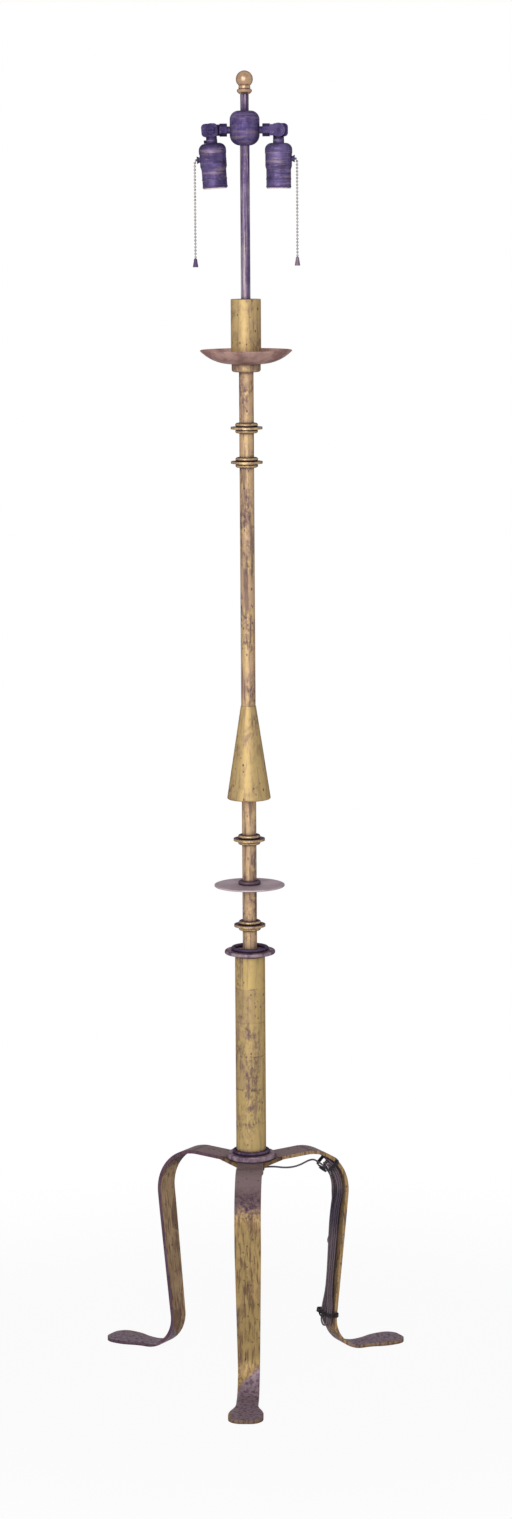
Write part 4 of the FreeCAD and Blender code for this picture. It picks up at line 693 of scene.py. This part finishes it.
def strand(name, points, thickness):
    """A round strand whose smooth line follows its control points."""
    curve = bpy.data.curves.new(name, "CURVE")
    curve.dimensions = "3D"
    curve.bevel_depth = thickness / 2
    curve.bevel_resolution = 3
    curve.resolution_u = 5
    curve.use_fill_caps = True
    line = curve.splines.new("NURBS")
    line.points.add(len(points) - 1)
    for point, place in zip(line.points, points):
        point.co = (*place, 1.0)
    line.order_u = 3
    line.use_endpoint_u = True
    line.use_smooth = True
    piece = bpy.data.objects.new(name, curve)
    bpy.context.scene.collection.objects.link(piece)
    return piece


# The ties, in millimetres: the gap to what they bind, the strap's back and half its width with
# that gap in them, and how far the string cuts each corner.
TIE_GAP = 0.25
STRAP_BACK, STRAP_HALF = -5.3, 18.1
TIE_CORNER = 2
BOW_MIDDLE, BOW_WIDTH = -2.0, 13.0
KNOT_RADIUS = 1.9
# The upper tie sits so many degrees round the knee, the lower so many millimetres down the shank.
UPPER_TIE_ANGLE, LOWER_TIE_DROP = 46, 174
# Turns of string in each band and knot.
TURNS = 4


def tie_path(place, front, back, half, gauge):
    """String wound flat round the strap and hank."""
    path = []
    flat, lifted, sunk = half - TIE_CORNER, back + TIE_CORNER, front - TIE_CORNER
    for turn in range(TURNS):
        low = (turn - (TURNS - 1) / 2) * gauge * 1.04
        high = low + gauge * 0.5
        path += [place(front, flat, low), place(front, -flat, low), place(sunk, -half, low),
                 place(lifted, -half, low), place(back, -flat, high), place(back, flat, high),
                 place(lifted, half, high), place(sunk, half, high)]
    return path


def bow_path(place, front, height, gauge):
    """The loop of the bow: twice round an upright oval that leans off the hank."""
    path = []
    for step in range(20):
        turn = 2 * math.pi * step / 10
        lift = front + gauge * (0.6 + 0.9 * (step // 10)) + 0.6 * (1 + math.cos(turn))
        path.append(place(lift, BOW_MIDDLE + BOW_WIDTH / 2 * math.sin(turn),
                          height / 2 * math.cos(turn)))
    return path


def knot_path(place, side, gauge):
    """A tight knot: a few close turns about an axis that runs off the strap."""
    path = []
    for step in range(TURNS * 6):
        turn = math.pi * step / 3
        path.append(place(gauge * 0.9 * (step / 6 - TURNS / 2), side - KNOT_RADIUS * math.cos(turn),
                          KNOT_RADIUS * math.sin(turn)))
    return path


class LAMP_OT_cord(bpy.types.Operator):
    """Lays the supply cord from the bushing through its hank to the plug"""
    bl_idname = "lamp.cord"
    bl_label = "Supply cord"

    def execute(self, context):
        settings = context.scene.lamp_cord
        piece = strand("supply_cord", cord_route(), settings.thickness)
        piece.data.materials.append(jacket("cord_jacket", settings.colour, 0.0016).material)
        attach(piece, "root")
        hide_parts("cord_lead", "cord_hank", "cord_tail")
        leg_point(0.0142, 0.277)
        return {"FINISHED"}


class LAMP_OT_ties(bpy.types.Operator):
    """Winds and knots the two black strings round the strap and the hank"""
    bl_idname = "lamp.ties"
    bl_label = "Cord ties"

    def execute(self, context):
        settings = context.scene.lamp_cord
        gauge, cord_radius = settings.string * 1000, settings.thickness * 500
        finish = jacket("tie_string", settings.string_colour, 0.0009)

        def at_knee(off, side, up):
            return knee_point(UPPER_TIE_ANGLE, off, side, ahead=-up)

        def on_shank(off, side, up):
            return strap_point(LOWER_TIE_DROP - up, off, side)

        pieces = []
        for name, place, layer, tall in (("upper", at_knee, LAYERS[0], 11.0),
                                         ("lower", on_shank, LAYERS[1], 10.0)):
            front = layer + cord_radius + TIE_GAP + gauge / 2
            back, half = STRAP_BACK - gauge / 2, STRAP_HALF + gauge / 2
            shapes = {"tie": tie_path(place, front, back, half, gauge),
                      "bow": bow_path(place, front + gauge / 2, tall, gauge),
                      "knot": knot_path(place, -half - gauge / 2 - KNOT_RADIUS, gauge)}
            pieces += [strand(name + "_" + kind, path, settings.string)
                       for kind, path in shapes.items()]
        for piece in pieces:
            piece.data.materials.append(finish.material)
            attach(piece, "root")
        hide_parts("cord_ties")
        return {"FINISHED"}


# ---------------------------------------------------------------- studio
# The floor's half side and how far it lies below the feet, in metres.
FLOOR_HALF, FLOOR_DROP = 9.0, -0.0006
# How much of the floor's white is its own glow near the lamp, and between which distances in
# metres it grows to all of it.
NEAR_GLOW, GLOW_FROM, GLOW_TO = 0.94, 0.35, 1.1

# The soft panel beside the camera.
KEY_PLACE, KEY_TARGET, KEY_SIZE = (-0.9, -4.4, 2.1), (0, 0, 0.95), (3.8, 3.8)

# The photo's view: place, heading, downward pitch, roll, and the focal length in millimetres.
CAMERA_PLACE = (0.1997, -4.9410, 1.606)
CAMERA_HEADING = (-0.0384, 0.99926, 0.0)
CAMERA_PITCH, CAMERA_ROLL = math.radians(8.73), math.radians(0.356)
SENSOR_WIDTH, FOCAL_LENGTH = 36.0, 87.69


class LAMP_OT_stage(bpy.types.Operator):
    """Sets the pale floor, the soft light and the camera"""
    bl_idname = "lamp.stage"
    bl_label = "Studio"

    def execute(self, context):
        settings = context.scene.lamp_stage
        self.lay_floor(settings)
        self.light(context, settings)
        self.aim(context)
        return {"FINISHED"}

    def lay_floor(self, settings):
        mesh = bpy.data.meshes.new("studio_floor")
        corners = ((-1, -1), (1, -1), (1, 1), (-1, 1))
        mesh.from_pydata([(x * FLOOR_HALF, y * FLOOR_HALF, FLOOR_DROP) for x, y in corners],
                         [], [(0, 1, 2, 3)])
        floor = bpy.data.objects.new("studio_floor", mesh)
        bpy.context.scene.collection.objects.link(floor)
        finish = Finish("pale_floor", Roughness=0.9, Base_Color=opaque(settings.floor))
        distance = (finish.x * finish.x + finish.y * finish.y).root()
        share = finish.seen() * (NEAR_GLOW + (1 - NEAR_GLOW) * distance.rise(GLOW_FROM, GLOW_TO))
        glow = finish.node("Emission", None, {"Color": WHITE, "Strength": 1.0})
        blend = finish.node("MixShader", None,
                            {0: share, 1: finish.shader.outputs[0], 2: glow.outputs[0]})
        finish.feed(finish.output.inputs["Surface"], blend.outputs[0])
        mesh.materials.append(finish.material)

    def light(self, context, settings):
        world = bpy.data.worlds.new("studio_air")
        context.scene.world = world
        nodes = Nodes(world)
        air = nodes.node("Background", None, {"Color": opaque(settings.ambient),
                                              "Strength": settings.ambient_level})
        white = nodes.node("Background", None, {"Color": WHITE, "Strength": 1.0})
        blend = nodes.node("MixShader", None,
                           {0: nodes.seen(), 1: air.outputs[0], 2: white.outputs[0]})
        nodes.node("OutputWorld", None, {"Surface": blend.outputs[0]})
        self.lamp("key_light", KEY_PLACE, KEY_TARGET, KEY_SIZE, settings.key_level)

    def lamp(self, name, place, target, size, level):
        """A soft panel whose light on a surface that faces it is about the level."""
        place, target = Vector(place), Vector(target)
        panel = bpy.data.lights.new(name, "AREA")
        panel.shape = "RECTANGLE"
        panel.size, panel.size_y = size
        panel.energy = level * math.pi ** 2 * (place - target).length_squared
        holder = bpy.data.objects.new(name, panel)
        turn = (target - place).to_track_quat("-Z", "Y").to_matrix().to_4x4()
        holder.matrix_world = Matrix.Translation(place) @ turn
        bpy.context.scene.collection.objects.link(holder)

    def aim(self, context):
        lens = bpy.data.cameras.new("lamp_camera")
        lens.sensor_fit, lens.sensor_width, lens.lens = "AUTO", SENSOR_WIDTH, FOCAL_LENGTH
        camera = bpy.data.objects.new("lamp_camera", lens)
        heading, upright = Vector(CAMERA_HEADING), Vector((0, 0, 1))
        level = Vector((heading.y, -heading.x, 0.0))
        ahead = heading * math.cos(CAMERA_PITCH) - upright * math.sin(CAMERA_PITCH)
        tilted = heading * math.sin(CAMERA_PITCH) + upright * math.cos(CAMERA_PITCH)
        across = level * math.cos(CAMERA_ROLL) - tilted * math.sin(CAMERA_ROLL)
        above = level * math.sin(CAMERA_ROLL) + tilted * math.cos(CAMERA_ROLL)
        columns = (across, above, -ahead, Vector(CAMERA_PLACE))
        camera.matrix_world = Matrix([[column[row] for column in columns] for row in range(3)]
                                     + [[0, 0, 0, 1]])
        context.scene.collection.objects.link(camera)
        context.scene.camera = camera
        context.scene.view_settings.view_transform = "Standard"


# ---------------------------------------------------------------- panel and running
STEPS = ("lamp.gild", "lamp.straps", "lamp.bronze", "lamp.fittings", "lamp.cord", "lamp.ties",
         "lamp.stage")


class LAMP_PT_build(bpy.types.Panel):
    """Lists the lamp's pieces and their settings"""
    bl_idname = "LAMP_PT_build"
    bl_label = "Candlestick lamp"
    bl_space_type = "VIEW_3D"
    bl_region_type = "UI"
    bl_category = "Lamp"

    def draw(self, context):
        for step in STEPS:
            self.layout.operator(step)
        for group in (context.scene.lamp_finish, context.scene.lamp_cord, context.scene.lamp_stage):
            box = self.layout.box()
            for name in group.__annotations__:
                box.prop(group, name)


SETTINGS = {"lamp_finish": LampFinishSettings, "lamp_cord": LampCordSettings,
            "lamp_stage": LampStageSettings}
CLASSES = (*SETTINGS.values(), LAMP_OT_gild, LAMP_OT_straps, LAMP_OT_bronze, LAMP_OT_fittings,
           LAMP_OT_cord, LAMP_OT_ties, LAMP_OT_stage, LAMP_PT_build)


def register():
    for kind in CLASSES:
        bpy.utils.register_class(kind)
    for name, kind in SETTINGS.items():
        setattr(bpy.types.Scene, name, bpy.props.PointerProperty(type=kind))


def unregister():
    for name in SETTINGS:
        delattr(bpy.types.Scene, name)
    for kind in reversed(CLASSES):
        bpy.utils.unregister_class(kind)


def main():
    register()
    for step in STEPS:
        group, name = step.split(".")
        getattr(getattr(bpy.ops, group), name)()


if __name__ == "__main__":
    main()
